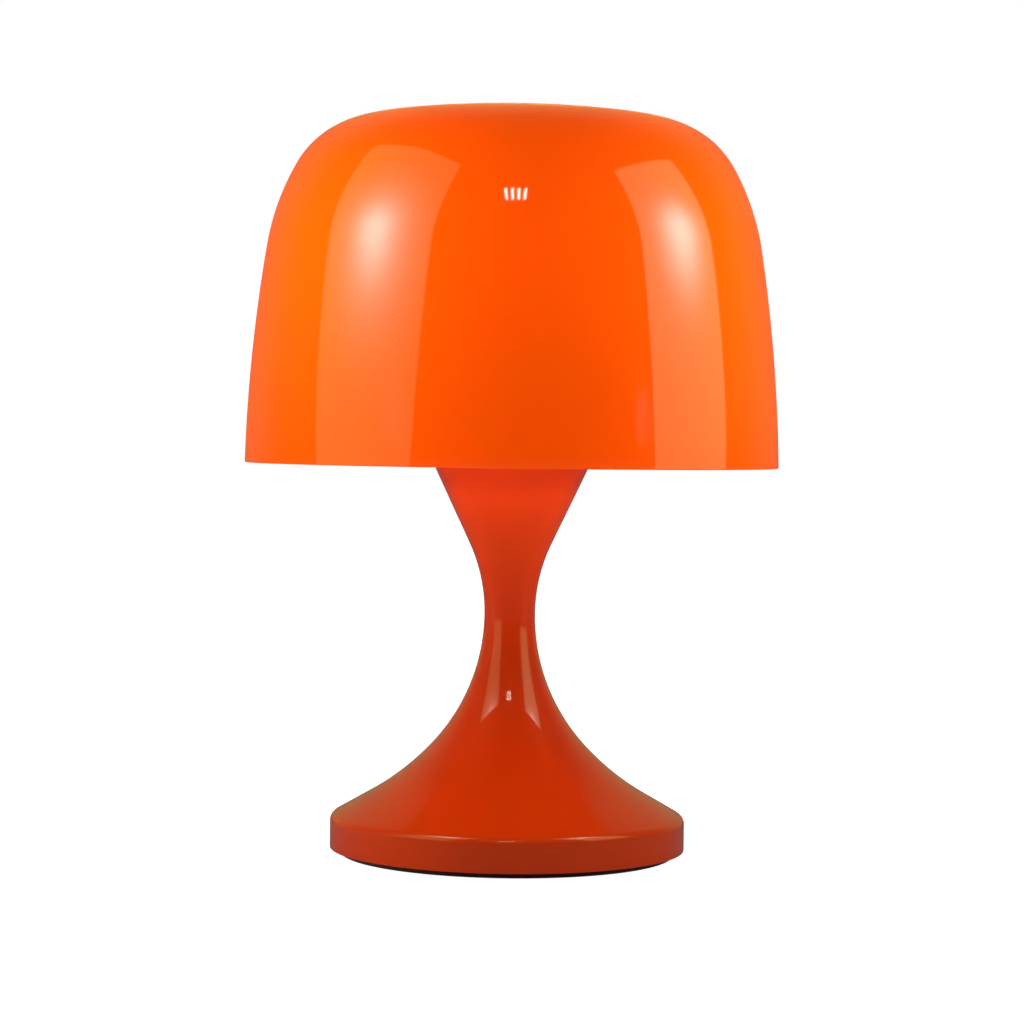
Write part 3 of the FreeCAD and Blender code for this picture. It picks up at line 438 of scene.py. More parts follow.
def striped_vinyl(tree, shader):
    """The earth wire's vinyl: green, with bands of yellow a few millimetres wide."""
    here = add(tree, "TexCoord").outputs["Object"]
    band = add(tree, "TexWave", {"Vector": here, "Scale": 55, "Distortion": 0.4})
    vinyl(tree, shader, between(tree, band.outputs["Fac"], (0.05, 0.26, 0.03),
                                (0.72, 0.60, 0.03), 0.47, 0.53))


def either_gloss(tree, path):
    """1 for what gloss or a clear piece shows."""
    gloss, clear = path.outputs["Is Glossy Ray"], path.outputs["Is Transmission Ray"]
    return joined(tree, "MAXIMUM", gloss, clear)


def white_floor(tree, shader):
    """White to the camera, dim in gloss and clear from below, and matt to the studio's light."""
    matt, less_in_gloss, glow_seen, share_in_gloss = 0.62, -0.48, 0.95, 0.05
    path = add(tree, "LightPath")
    set_inputs(tree, shader, {
        "Base Color": joined(tree, "MULTIPLY_ADD", path.outputs["Is Glossy Ray"], less_in_gloss,
                             matt),
        "Roughness": 1.0, "Specular IOR Level": 0.0})
    shown = joined(tree, "MULTIPLY", either_gloss(tree, path), share_in_gloss)
    seen = joined(tree, "MAXIMUM", path.outputs["Is Camera Ray"], shown)
    glow = add(tree, "Emission", {"Strength": joined(tree, "MULTIPLY", seen, glow_seen)})
    both = add(tree, "AddShader", {0: shader.outputs["BSDF"], 1: glow.outputs["Emission"]})
    below = add(tree, "MixShader", {
        "Fac": add(tree, "NewGeometry").outputs["Backfacing"], 1: both.outputs["Shader"],
        2: add(tree, "BsdfTransparent").outputs["BSDF"]})
    set_inputs(tree, tree.nodes["Material Output"], {"Surface": below.outputs["Shader"]})


FINISHES = {
    "orange_acrylic": opal_acrylic,
    "orange_lacquer": gloss_lacquer,
    "foot_felt": pressed_felt,
    "zinc_steel": zinc_plate,
    "bright_wire": bright_wire,
    "cast_weight": cast_iron,
    "black_thermoset": black_moulding,
    "steatite": unglazed_ceramic,
    "contact_brass": plain_brass,
    "black_rubber": soft_rubber,
    "clear_acrylic": clear_acrylic,
    "frosted_glass": frosted_glass,
    "clear_glass": clear_glass,
    "cap_aluminium": cap_aluminium,
    "filament_wire": dull_wire,
    "white_nylon": white_nylon,
    "brown_insulation": plain_vinyl((0.075, 0.024, 0.010)),
    "blue_insulation": plain_vinyl((0.012, 0.065, 0.30)),
    "green_insulation": striped_vinyl,
    "floor": white_floor,
}


# ---- Settings
def length(name, description, default):
    """A size in metres."""
    return FloatProperty(name=name, description=description, default=default, min=0.0,
                         subtype="DISTANCE", unit="LENGTH", precision=5)


def hue(name, description, default):
    """A colour, in linear light."""
    return FloatVectorProperty(name=name, description=description, default=default, min=0.0,
                               max=1.0, size=3, subtype="COLOR")


def factor(name, description, default):
    """A share from 0 to 1."""
    return FloatProperty(name=name, description=description, default=default, min=0.0, max=1.0,
                         subtype="FACTOR")


def whole(name, description, default, least):
    """A whole number of cells or features."""
    return IntProperty(name=name, description=description, default=default, min=least)


def brightness(name, description, default):
    """The strength of a light."""
    return FloatProperty(name=name, description=description, default=default, min=0.0)


class LampShadeSettings(bpy.types.PropertyGroup):
    rim_radius: length("Rim Radius", "Outside radius of the dome at its open rim", 0.1505)
    wall: length("Wall", "Thickness of the acrylic", 0.003)
    edge: length("Edge Radius", "Rounding of the rim's two edges", 0.0007)
    columns: whole("Columns", "Cells round the dome", 320, 24)
    colour: hue("Colour", "Colour of the opal acrylic", (1.0, 0.132, 0.0))
    glow: hue("Glow", "Colour that each face of the wall gives the light that goes through it",
              (1.0, 0.25, 0.01))
    opal: factor("Opal", "Share of the light that each face of the wall lets through", 0.55)
    shine: factor("Shine", "Strength of the polished acrylic's reflections", 1.0)


class LampCasingSettings(bpy.types.PropertyGroup):
    skirt_radius: length("Skirt Radius", "Outside radius of the foot's skirt", 0.1004)
    wall: length("Wall", "Thickness of the casing's metal", 0.0016)
    hole_radius: length("Inlet Radius", "Radius of the hole for the cord's bush", 0.0047)
    colour: hue("Colour", "Colour of the lacquer", (0.63, 0.042, 0.001))


class LampBulbSettings(bpy.types.PropertyGroup):
    radius: length("Radius", "Largest radius of the bulb's glass", 0.030)
    neck_radius: length("Neck Radius", "Radius of the glass where it enters the cap", 0.012)
    pitch: length("Thread Pitch", "Rise of the cap's thread in a turn", 0.003629)


class LampHolderSettings(bpy.types.PropertyGroup):
    radius: length("Radius", "Outside radius of the lampholder's sleeve", 0.0199)
    thread_depth: length("Thread Depth", "Depth of the sleeve's thread for the shade ring", 0.0006)
    thread_pitch: length("Thread Pitch", "Rise of the sleeve's thread in a turn", 0.0025)
    ribs: whole("Ribs", "Grip ribs round the shade ring", 24, 6)


class LampStudioSettings(bpy.types.PropertyGroup):
    fill: factor("Fill", "Strength of the light from all round", 0.32)
    bounce: brightness("Bounce", "Brightness of the two low lights in front", 0.52)
    key: brightness("Key", "Brightness of the two level lights at the front's sides", 1.85)
    top: brightness("Top", "Brightness of the wide light above", 0.35)
    back: brightness("Back", "Brightness of the wide light behind", 0.35)
    tubes: brightness("Tubes", "Brightness of the four tubes above the camera", 24.0)
    backdrop: factor("Backdrop", "Whiteness of what gloss shows from behind the lamp", 0.28)
    focal_length: FloatProperty(
        name="Focal Length", description="Camera lens in millimetres", default=100.0, min=10.0,
        subtype="DISTANCE_CAMERA")


# ---- Pieces
class LAMP_OT_shade(bpy.types.Operator):
    """Builds the opal dome, a turned shell that is open at the bottom"""
    bl_idname = "lamp.shade"
    bl_label = "Shade"

    def execute(self, context):
        s = context.scene.lamp_shade
        rim_height, lean, shoulder, turn_step = 0.22016, -1.4, -81.5, 0.8
        foot = (s.rim_radius, rim_height)
        runs = [("arc", 0.910, -9.1), ("arc", 0.138, -29.5), ("arc", 0.0533, shoulder)]
        # The crown's arc is centred on the axis, so its radius is the distance from the axis at
        # which the shoulder ends, divided by the cosine of the heading there.
        crown = outline(foot, lean, runs)[-1, 0] / math.cos(math.radians(shoulder))
        runs.append(("arc", crown, -90.0))
        outside = outline(foot, lean, runs, 0.0, turn_step)
        inside = outline(foot, lean, runs, s.wall, turn_step)
        outside[-1, 0] = inside[-1, 0] = 0.0
        lip = rounded([outside[1], inside[1], inside[0], outside[0]], [0, 0, s.edge, s.edge], 6)
        profile = np.concatenate([inside[:0:-1], lip[2:], outside[1:]])
        build("shade_dome", [cells(spun(profile, s.columns), False, True)],
              "shade", "shade", "orange_acrylic")
        return {"FINISHED"}


def lug_copy():
    """The three lugs as merged copies of the CAD blocks, their cut edges bevelled a little."""
    name, nearest, flat, sharp = "shade_lug_blocks", 1e-6, math.radians(1), math.radians(40)
    mesh = frame["nodes"]["shade_lugs"].data.copy()
    mesh.name = name
    block = bmesh.new()
    block.from_mesh(mesh)
    bmesh.ops.remove_doubles(block, verts=block.verts, dist=nearest)
    bmesh.ops.dissolve_limit(block, angle_limit=flat, verts=block.verts, edges=block.edges)
    block.to_mesh(mesh)
    block.free()
    obj = linked(name, mesh)
    bevel = obj.modifiers.new("Broken Edges", "BEVEL")
    bevel.width = 0.0004
    bevel.segments = 2
    bevel.limit_method = "ANGLE"
    bevel.angle_limit = sharp
    return obj


class LAMP_OT_shade_lugs(bpy.types.Operator):
    """Breaks the edges of the three blocks that are bonded inside the dome"""
    bl_idname = "lamp.shade_lugs"
    bl_label = "Shade Lugs"

    def execute(self, context):
        place(lug_copy(), "shade", "shade_lugs", "clear_acrylic")
        return {"FINISHED"}


def round_window(radius, centre_height, half, heights, hole, steps=5):
    """The skirt round its hole: rings that go evenly from a rectangle of cell edges to a circle.

    The rectangle reaches half degrees to each side. Its points and the circle's lie in the same
    directions from the hole's centre in the (x, z) plane, and y is the square root of radius
    squared less x squared.
    """
    a = np.radians(np.arange(-half, half + 1))
    xs = radius * np.sin(a)
    left, right = np.full(len(heights), xs[0]), np.full(len(heights), xs[-1])
    bottom, top = np.full(len(xs), heights[0]), np.full(len(xs), heights[-1])
    loop = np.concatenate([
        np.stack([xs[:-1], bottom[:-1]], -1), np.stack([right[:-1], heights[:-1]], -1),
        np.stack([xs[:0:-1], top[:0:-1]], -1), np.stack([left[:0:-1], heights[:0:-1]], -1),
    ])
    away = loop - (0, centre_height)
    circle = away / np.linalg.norm(away, axis=1, keepdims=True) * hole + (0, centre_height)
    share = np.linspace(0, 1, steps + 1)[:, None, None]
    flat = loop + share * (circle - loop)
    return np.stack([flat[..., 0], np.sqrt(radius ** 2 - flat[..., 0] ** 2), flat[..., 1]], -1)


class LAMP_OT_casing(bpy.types.Operator):
    """Builds the lacquered hourglass shell, with its mouth, its rebate and the cord's hole"""
    bl_idname = "lamp.casing"
    bl_label = "Casing"

    def execute(self, context):
        s = context.scene.lamp_casing
        inner_radius = s.skirt_radius - s.wall
        foot, plate_top, skirt_top = (s.skirt_radius, 0.0033), 0.0049, 0.0183
        runs = [("arc", 0.00535, -60.25), ("line", 0.0218, 6), ("arc", 0.1482, -42.4),
                ("arc", 0.1091, 0.0), ("arc", 0.0937, 25.2), ("line", 0.062, 12)]
        outside = outline((s.skirt_radius, skirt_top), 0.0, runs, 0.0, 1.5)
        inside = outline((s.skirt_radius, skirt_top), 0.0, runs, s.wall, 2.5)

        # The mouth's flange: the inside's last point slides along its line to the flange's bottom.
        mouth, flange = outside[-1], 0.008
        slope = (inside[-1] - inside[-2]) / (inside[-1] - inside[-2])[1]
        inside[-1] += slope * (mouth[1] - s.wall - inside[-1][1])
        bore = mouth[0] - flange
        rim = rounded([outside[-2], mouth, (bore, mouth[1]), (bore, mouth[1] - s.wall),
                       inside[-1], inside[-2]], [0, 0.0007, 0.0003, 0.0003, 0.0004, 0])[1:-1]

        # The hole's window is 2 * half columns wide, one to a degree, and 2 * half rows high.
        inlet, row, half, columns = 0.0112, 0.0015, 4, 360
        window = inlet + row * np.arange(-half, half + 1)
        skirt = np.concatenate([[foot[1] + 0.0006], window, [skirt_top - 0.0005]])
        outer_skirt = upright(s.skirt_radius, skirt)
        inner_skirt = upright(inner_radius, window)
        rebate = s.skirt_radius - 0.0008
        foot_edge = rounded([(inner_radius, plate_top), (rebate, plate_top), (rebate, foot[1]),
                             foot, outer_skirt[0]], [0, 0, 0.00015, 0.0004, 0])[:-1]
        profile = np.concatenate([outer_skirt, outside[:-1], rim, inside[-2::-1],
                                  inner_skirt[::-1], foot_edge])

        kept = np.ones((len(profile), columns), bool)
        back = columns // 2
        first_inner = len(profile) - len(foot_edge) - len(inner_skirt)
        for first in (1, first_inner):
            kept[first:first + 2 * half, back - half:back + half] = False
        outer = round_window(s.skirt_radius, inlet, half, window, s.hole_radius)
        inner = round_window(inner_radius, inlet, half, window, s.hole_radius)
        patches = [cells(spun(profile, columns), True, True, kept), cells(outer, False, True),
                   cells(inner, False, True), cells(np.stack([outer[-1], inner[-1]]), False, True)]
        build("casing_shell", patches, "stand", "casing", "orange_lacquer")
        return {"FINISHED"}


def pad_grid(radius=0.0946, thick=0.0033, rings=12, columns=240):
    """The pad turned round the lamp's axis: an outline from the axis along the flat bottom, round
    the edge and back along the flat top, with evenly spaced rings on both flats."""
    edge = rounded([(0.0, 0.0), (radius, 0.0), (radius, thick), (0.0, thick)],
                   [0, 0.0011, 0.0005, 0], 6)
    reach = np.linspace(0.0, edge[1, 0], rings)[1:-1]
    flat = np.stack([reach, np.zeros(len(reach))], -1)
    profile = np.concatenate([edge[:1], flat, edge[1:-1], (flat + (0, thick))[::-1], edge[-1:]])
    return spun(profile, columns)


def bush_grid(columns=64):
    """The bush's section (r, y) turned round its own level axis, which points to the back.

    A point is (r cos a, y, height + r sin a). Its groove fits the skirt's wall, whose inner face
    is the square root of the inner radius squared less the flange's radius squared from the axis.
    """
    height, bore, groove, flange, flange_thick = 0.0112, 0.0034, 0.0046, 0.006, 0.0015
    skirt_inner_radius, clearance, outer_face = 0.0988, 0.0001, 0.1005
    inner_face = math.sqrt(skirt_inner_radius ** 2 - flange ** 2) - clearance
    start, end = inner_face - flange_thick, outer_face + flange_thick
    section = rounded([(bore, start), (flange, start), (flange, inner_face), (groove, inner_face),
                       (groove, outer_face), (flange, outer_face), (flange, end), (bore, end)],
                      [0.0004, 0.0005, 0.0002, 0, 0, 0.0002, 0.0006, 0.0006], 4)
    a = np.arange(columns) * TAU / columns
    r, y = section[:, :1], section[:, 1:]
    return np.stack([r * np.cos(a), y + 0 * a, height + r * np.sin(a)], -1)


class LAMP_OT_foot(bpy.types.Operator):
    """Builds the pressed pad under the foot and the bush in the skirt"""
    bl_idname = "lamp.foot"
    bl_label = "Foot Pad and Cord Bush"

    def execute(self, context):
        build("foot_pad_disc", [cells(pad_grid(), False, True)],
              "stand", "foot_pad", "foot_felt")
        build("cord_bush", [cells(bush_grid(), True, True)],
              "stand", "cord_grommet", "black_rubber")
        return {"FINISHED"}


def thread(heights, columns, pitch, depth, start, end):
    """How far a screw thread stands out, at each height and angle.

    The phase is height / pitch less angle / a full turn. The height of the thread is depth times
    the sine squared of pi times the phase, faded in after start and out before end over half a
    pitch.
    """
    a = np.arange(columns) / columns
    phase = heights[:, None] / pitch - a
    fade_in = np.clip((heights - start) / (0.5 * pitch), 0, 1)
    fade_out = np.clip((end - heights) / (0.5 * pitch), 0, 1)
    return depth * np.sin(np.pi * phase) ** 2 * (fade_in * fade_out)[:, None]


def glass_grid(s, columns=128):
    """The bulb's glass turned round the axis: a neck, a flare, a straight flank and a round end.

    The flank's length is the end's radius times the cosine of the flare's angle, less the neck's
    radius and the flare's own reach, all divided by the angle's sine.
    """
    wall, foot, top, flare, flare_arc = 0.0008, 0.28286, 0.37286, math.radians(28), 0.035
    reach = flare_arc * (1 - math.cos(flare))
    flank = (s.radius * math.cos(flare) - s.neck_radius - reach) / math.sin(flare)
    rise = flare_arc * math.sin(flare) + flank * math.cos(flare)
    neck = top - foot - rise - s.radius * (1 + math.sin(flare))
    runs = [("line", neck, 4), ("arc", flare_arc, 28.0), ("line", flank, 8),
            ("arc", s.radius, -90.0)]
    outside = outline((s.neck_radius, foot), 0.0, runs)
    inside = outline((s.neck_radius, foot), 0.0, runs, wall)
    outside[-1, 0] = inside[-1, 0] = 0.0
    return spun(np.concatenate([inside[::-1], outside]), columns)


def screw_cap_grid(s, columns=128, rows=124):
    """The bulb's cap turned round the axis: a threaded skin, closed by its lip, bore and hem."""
    bottom, top, root, bore, thread_depth = 0.27436, 0.29486, 0.0125, 0.0122, 0.0007
    z = np.linspace(bottom, top, rows)
    lip = np.array([[root - 0.00005, top], [bore + 0.00005, top], [bore, top - 0.0002]])
    hem = np.array([[bore, bottom + 0.0002], [bore + 0.0001, bottom]])
    swell = np.concatenate([
        thread(z, columns, s.pitch, thread_depth, bottom + 0.0005, top - 0.0015),
        np.zeros((len(lip) + len(hem), columns)),
    ])
    return spun(np.concatenate([upright(root, z), lip, hem]), columns, swell)


class LAMP_OT_bulb(bpy.types.Operator):
    """Builds the frosted bulb's glass and its screw cap"""
    bl_idname = "lamp.bulb"
    bl_label = "Bulb"

    def execute(self, context):
        s = context.scene.lamp_bulb
        build("bulb_envelope", [cells(glass_grid(s), False, True)],
              "bulb", "bulb_glass", "frosted_glass", 60)
        build("bulb_cap_thread", [cells(screw_cap_grid(s), True, True)],
              "bulb", "bulb_screw_cap", "cap_aluminium")
        return {"FINISHED"}


def bowl_grid(s, foot, sleeve, columns=128):
    """The lampholder's cap turned round the axis: a neck that widens to a thick bowl."""
    hub, neck, seat, seat_bore = 0.00505, 0.009, 0.01745, 0.01505
    section = rounded(
        [(hub, foot), (neck, foot), (neck, foot + 0.0048), (s.radius, foot + 0.015),
         (s.radius, sleeve), (seat, sleeve), (seat, sleeve + 0.004), (seat_bore, sleeve + 0.004),
         (seat_bore, foot + 0.015), (0.008, foot + 0.008), (hub, foot + 0.008)],
        [0.0003, 0.0006, 0.003, 0.004, 0.0003, 0.0001, 0.0003, 0.0003, 0.001, 0.001, 0.0003], 6)
    return spun(section, columns)


def sleeve_grid(s, foot, columns=160, rows=150):
    """The lampholder's sleeve turned round the axis: a collar, a threaded wall and a rim."""
    top, collar_top, collar, bore = foot + 0.036, foot + 0.014, 0.0245, 0.0175
    collar_foot, root, thread_end = collar_top - 0.003, s.radius - s.thread_depth, top - 0.0008
    low = rounded([(bore, foot), (s.radius, foot), (s.radius, collar_foot), (collar, collar_foot),
                   (collar, collar_top), (s.radius, collar_top)],
                  [0.0003, 0.0003, 0.0008, 0.0007, 0.0007, 0], 5)
    z = np.linspace(collar_top + 0.0004, thread_end, rows)
    rim = rounded([(root, thread_end), (root - 0.0003, top), (bore, top), (bore, foot + 0.002)],
                  [0, 0.0002, 0.0004, 0], 4)
    profile = np.concatenate([low, upright(root, z), rim[1:]])
    swell = np.zeros((len(profile), columns))
    swell[len(low):len(low) + len(z)] = thread(
        z, columns, s.thread_pitch, s.thread_depth, collar_top + 0.001, top - 0.001)
    return spun(profile, columns, swell)


def rib_swell(section, ribs, cells_each, wall, foot, top):
    """How far the grip ribs stand out from the ring's wall, at each section point and angle.

    A rib's height is its full height times the square root of 1 less (the distance from its middle
    over its half width) squared. It counts near the wall's radius only, and the square root of two
    ramps fades it in above foot and out below top.
    """
    half_width, full_height = 0.0009, 0.0008
    turn = (np.arange(ribs * cells_each) / cells_each) % 1.0
    away = np.minimum(turn, 1 - turn) * TAU * wall / ribs
    rib = np.sqrt(np.clip(1 - (away / half_width) ** 2, 0, 1)) * full_height
    r, z = section[:, :1], section[:, 1]
    on_wall = (r > wall - 0.0007) & (r < wall + 0.0006)
    fade = np.clip((z - foot - 0.0021) / 0.0004, 0, 1) * np.clip((top + 0.0002 - z) / 0.0010, 0, 1)
    return on_wall * fade[:, None] ** 0.5 * rib


def grip_grid(s, rows=12, cells_each=16):
    """The shade ring turned round the axis: a flange at its foot and a ribbed wall above it."""
    foot, top, bore, flange, wall = 0.27366, 0.27366 + 0.009, 0.01998, 0.0265, 0.0236
    section = rounded([(bore, foot), (flange, foot), (flange, foot + 0.002), (wall, foot + 0.002),
                       (wall, top), (bore, top)],
                      [0.0004, 0.0005, 0.0005, 0.0005, 0.0006, 0.0004], 5)
    ends = np.flatnonzero(np.isclose(section[:, 0], wall, atol=2e-6))
    z = np.linspace(section[ends[0], 1], section[ends[-1], 1], rows)[1:-1]
    at = ends[0] + 1
    section = np.concatenate([section[:at], upright(wall, z), section[at:]])
    swell = rib_swell(section, s.ribs, cells_each, wall, foot, top)
    return spun(section, s.ribs * cells_each, swell)


class LAMP_OT_lampholder(bpy.types.Operator):
    """Builds the lampholder's cap, its threaded sleeve and the ribbed shade ring"""
    bl_idname = "lamp.lampholder"
    bl_label = "Lampholder"

    def execute(self, context):
        s = context.scene.lamp_holder
        foot, sleeve = 0.23796, 0.25796
        for name, grid, body, node in (
            ("holder_cap_bowl", bowl_grid(s, foot, sleeve), "stand", "holder_cap"),
            ("holder_sleeve_thread", sleeve_grid(s, sleeve), "stand", "holder_sleeve"),
            ("shade_ring_grip", grip_grid(s), "shade_ring", "shade_ring"),
        ):
            build(name, [cells(grid, True, True)], body, node, "black_thermoset")
        return {"FINISHED"}


def tip_grid(columns=48):
    """A soft tip's section (r, x) turned round the level axis of a spoke that runs along x.

    A point is (x, r cos a, height + r sin a).
    """
    start, end, bore_end, height, outer, bore = 0.13996, 0.14336, 0.14256, 0.27556, 0.0029, 0.00205
    section = rounded([(0.0, end), (outer, end), (outer, start), (bore, start), (bore, bore_end),
                       (0.0, bore_end)], [0, 0.0007, 0.0003, 0.0002, 0.0002, 0], 5)
    a = np.arange(columns) * TAU / columns
    r, x = section[:, :1], section[:, 1:]
    return np.stack([x + 0 * a, r * np.cos(a), height + r * np.sin(a)], -1)


class LAMP_OT_carrier_tips(bpy.types.Operator):
    """Builds the soft caps on the ends of the carrier's three spokes"""
    bl_idname = "lamp.carrier_tips"
    bl_label = "Carrier Tips"

    def execute(self, context):
        patches = []
        for heading in (90, 210, 330):
            turn = math.radians(heading)
            spin = np.array([[math.cos(turn), math.sin(turn), 0],
                             [-math.sin(turn), math.cos(turn), 0], [0, 0, 1]])
            patches.append(cells(tip_grid() @ spin, False, True))
        build("carrier_tip_caps", patches, "carrier", "carrier_tips", "black_rubber")
        return {"FINISHED"}


class LAMP_OT_finishes(bpy.types.Operator):
    """Gives every CAD piece the finish of its slot"""
    bl_idname = "lamp.finishes"
    bl_label = "Finishes"

    def execute(self, context):
        slots = {part["node"]: part["material_slot"] for part in frame["record"]["subparts"]}
        for name, obj in frame["nodes"].items():
            for slot in obj.material_slots:
                slot.material = finish(slots[name])
        return {"FINISHED"}


# ---- Stage
def area_light(name, width, height, radiance=1.0):
    """A rectangle that gives light, its power pi * area * radiance, unseen by the camera."""
    light = bpy.data.lights.new(name, "AREA")
    light.shape = "RECTANGLE"
    light.size, light.size_y = width, height
    light.energy = math.pi * width * height * radiance
    obj = linked(name, light)
    obj.visible_camera = False
    return obj


def facing(name, azimuth, tilt, distance, across, up, height=0.25):
    """A rectangle of light that faces the lamp; its nodes' emission strength is its radiance.

    azimuth (0 in front, positive to the right) and tilt (upwards) in degrees give the direction of
    its foot point from the axis at that height; across and up are the ranges it covers from there.
    """
    a, t = math.radians(azimuth), math.radians(tilt)
    toward = Vector((math.sin(a) * math.cos(t), -math.cos(a) * math.cos(t), math.sin(t)))
    right = Vector((math.cos(a), math.sin(a), 0))
    above = toward.cross(right)
    obj = area_light(name, across[1] - across[0], up[1] - up[0])
    obj.data.use_nodes = True
    middle = (toward * distance + right * sum(across) / 2 + above * sum(up) / 2
              + Vector((0, 0, height)))
    turned = Matrix((right, above, toward)).transposed().to_4x4()
    obj.matrix_world = Matrix.Translation(middle) @ turned
    return obj.data.node_tree


def panel(name, azimuth, tilt, distance, across, up, even, spots):
    """A soft panel that faces the lamp: warm even light with round white spots that fade outwards.

    A spot (across, up, size, gain) adds gain * e to the power of -(distance / size) squared.
    """
    tree = facing(name, azimuth, tilt, distance, across, up)
    width, tall = across[1] - across[0], up[1] - up[0]
    here = add(tree, "NewGeometry").outputs["Parametric"]
    total = 0.0
    for spot_across, spot_up, size, gain in spots:
        stretch = add(tree, "Mapping", {"Vector": here, "Scale": (width / size, tall / size, 0)})
        middle = ((spot_across - across[0]) / size, (spot_up - up[0]) / size, 0)
        away = add(tree, "VectorMath", {0: stretch.outputs["Vector"], 1: middle},
                   operation="DISTANCE")
        squared = joined(tree, "POWER", away.outputs["Value"], 2.0)
        fall = joined(tree, "EXPONENT", joined(tree, "MULTIPLY", squared, -1.0))
        total = joined(tree, "MULTIPLY_ADD", fall, gain, total)
    white = tree.nodes["Emission"]
    set_inputs(tree, white, {"Strength": total})
    warm = add(tree, "Emission", {"Color": (1.0, 1.0, 0.35, 1), "Strength": even})
    both = add(tree, "AddShader", {0: white.outputs["Emission"], 1: warm.outputs["Emission"]})
    set_inputs(tree, tree.nodes["Light Output"], {"Surface": both.outputs["Shader"]})


def tube_light(name, azimuth, tilt, distance, across, up, strength, tubes=4, width=0.44, fan=0.12):
    """A fitting of tubes that fan out upwards.

    It is bright where the fraction of (tubes - 0.25) * w - 0.1 is under the tubes' width, and
    w is a half plus (u - a half) * (1 - fan * (v - a half)).
    """
    pitch, shift = tubes - 0.25, 0.1
    tree = facing(name, azimuth, tilt, distance, across, up)
    here = add(tree, "NewGeometry").outputs["Parametric"]
    parts = add(tree, "SeparateXYZ", {0: here}).outputs
    narrowed = joined(tree, "MULTIPLY_ADD", parts["Y"], -fan, 1 + fan / 2)
    off_centre = joined(tree, "MULTIPLY", joined(tree, "ADD", parts["X"], -0.5), narrowed)
    turns = joined(tree, "MULTIPLY_ADD", off_centre, pitch, pitch / 2 - shift)
    lit = joined(tree, "LESS_THAN", joined(tree, "FRACT", turns), width)
    set_inputs(tree, tree.nodes["Emission"], {
        "Color": (1.0, 0.96, 0.85, 1), "Strength": joined(tree, "MULTIPLY", lit, strength)})


def soft_light(name, place_at, aim, width, height, strength, spread, colour):
    """A gridded soft light that lights the lamp and doesn't show in its gloss."""
    obj = area_light(name, width, height, strength)
    obj.data.spread = math.radians(spread)
    obj.data.color = colour
    obj.visible_glossy = False
    obj.location = place_at
    obj.rotation_mode = "QUATERNION"
    obj.rotation_quaternion = (Vector(place_at) - Vector(aim)).to_track_quat("Z", "Y")


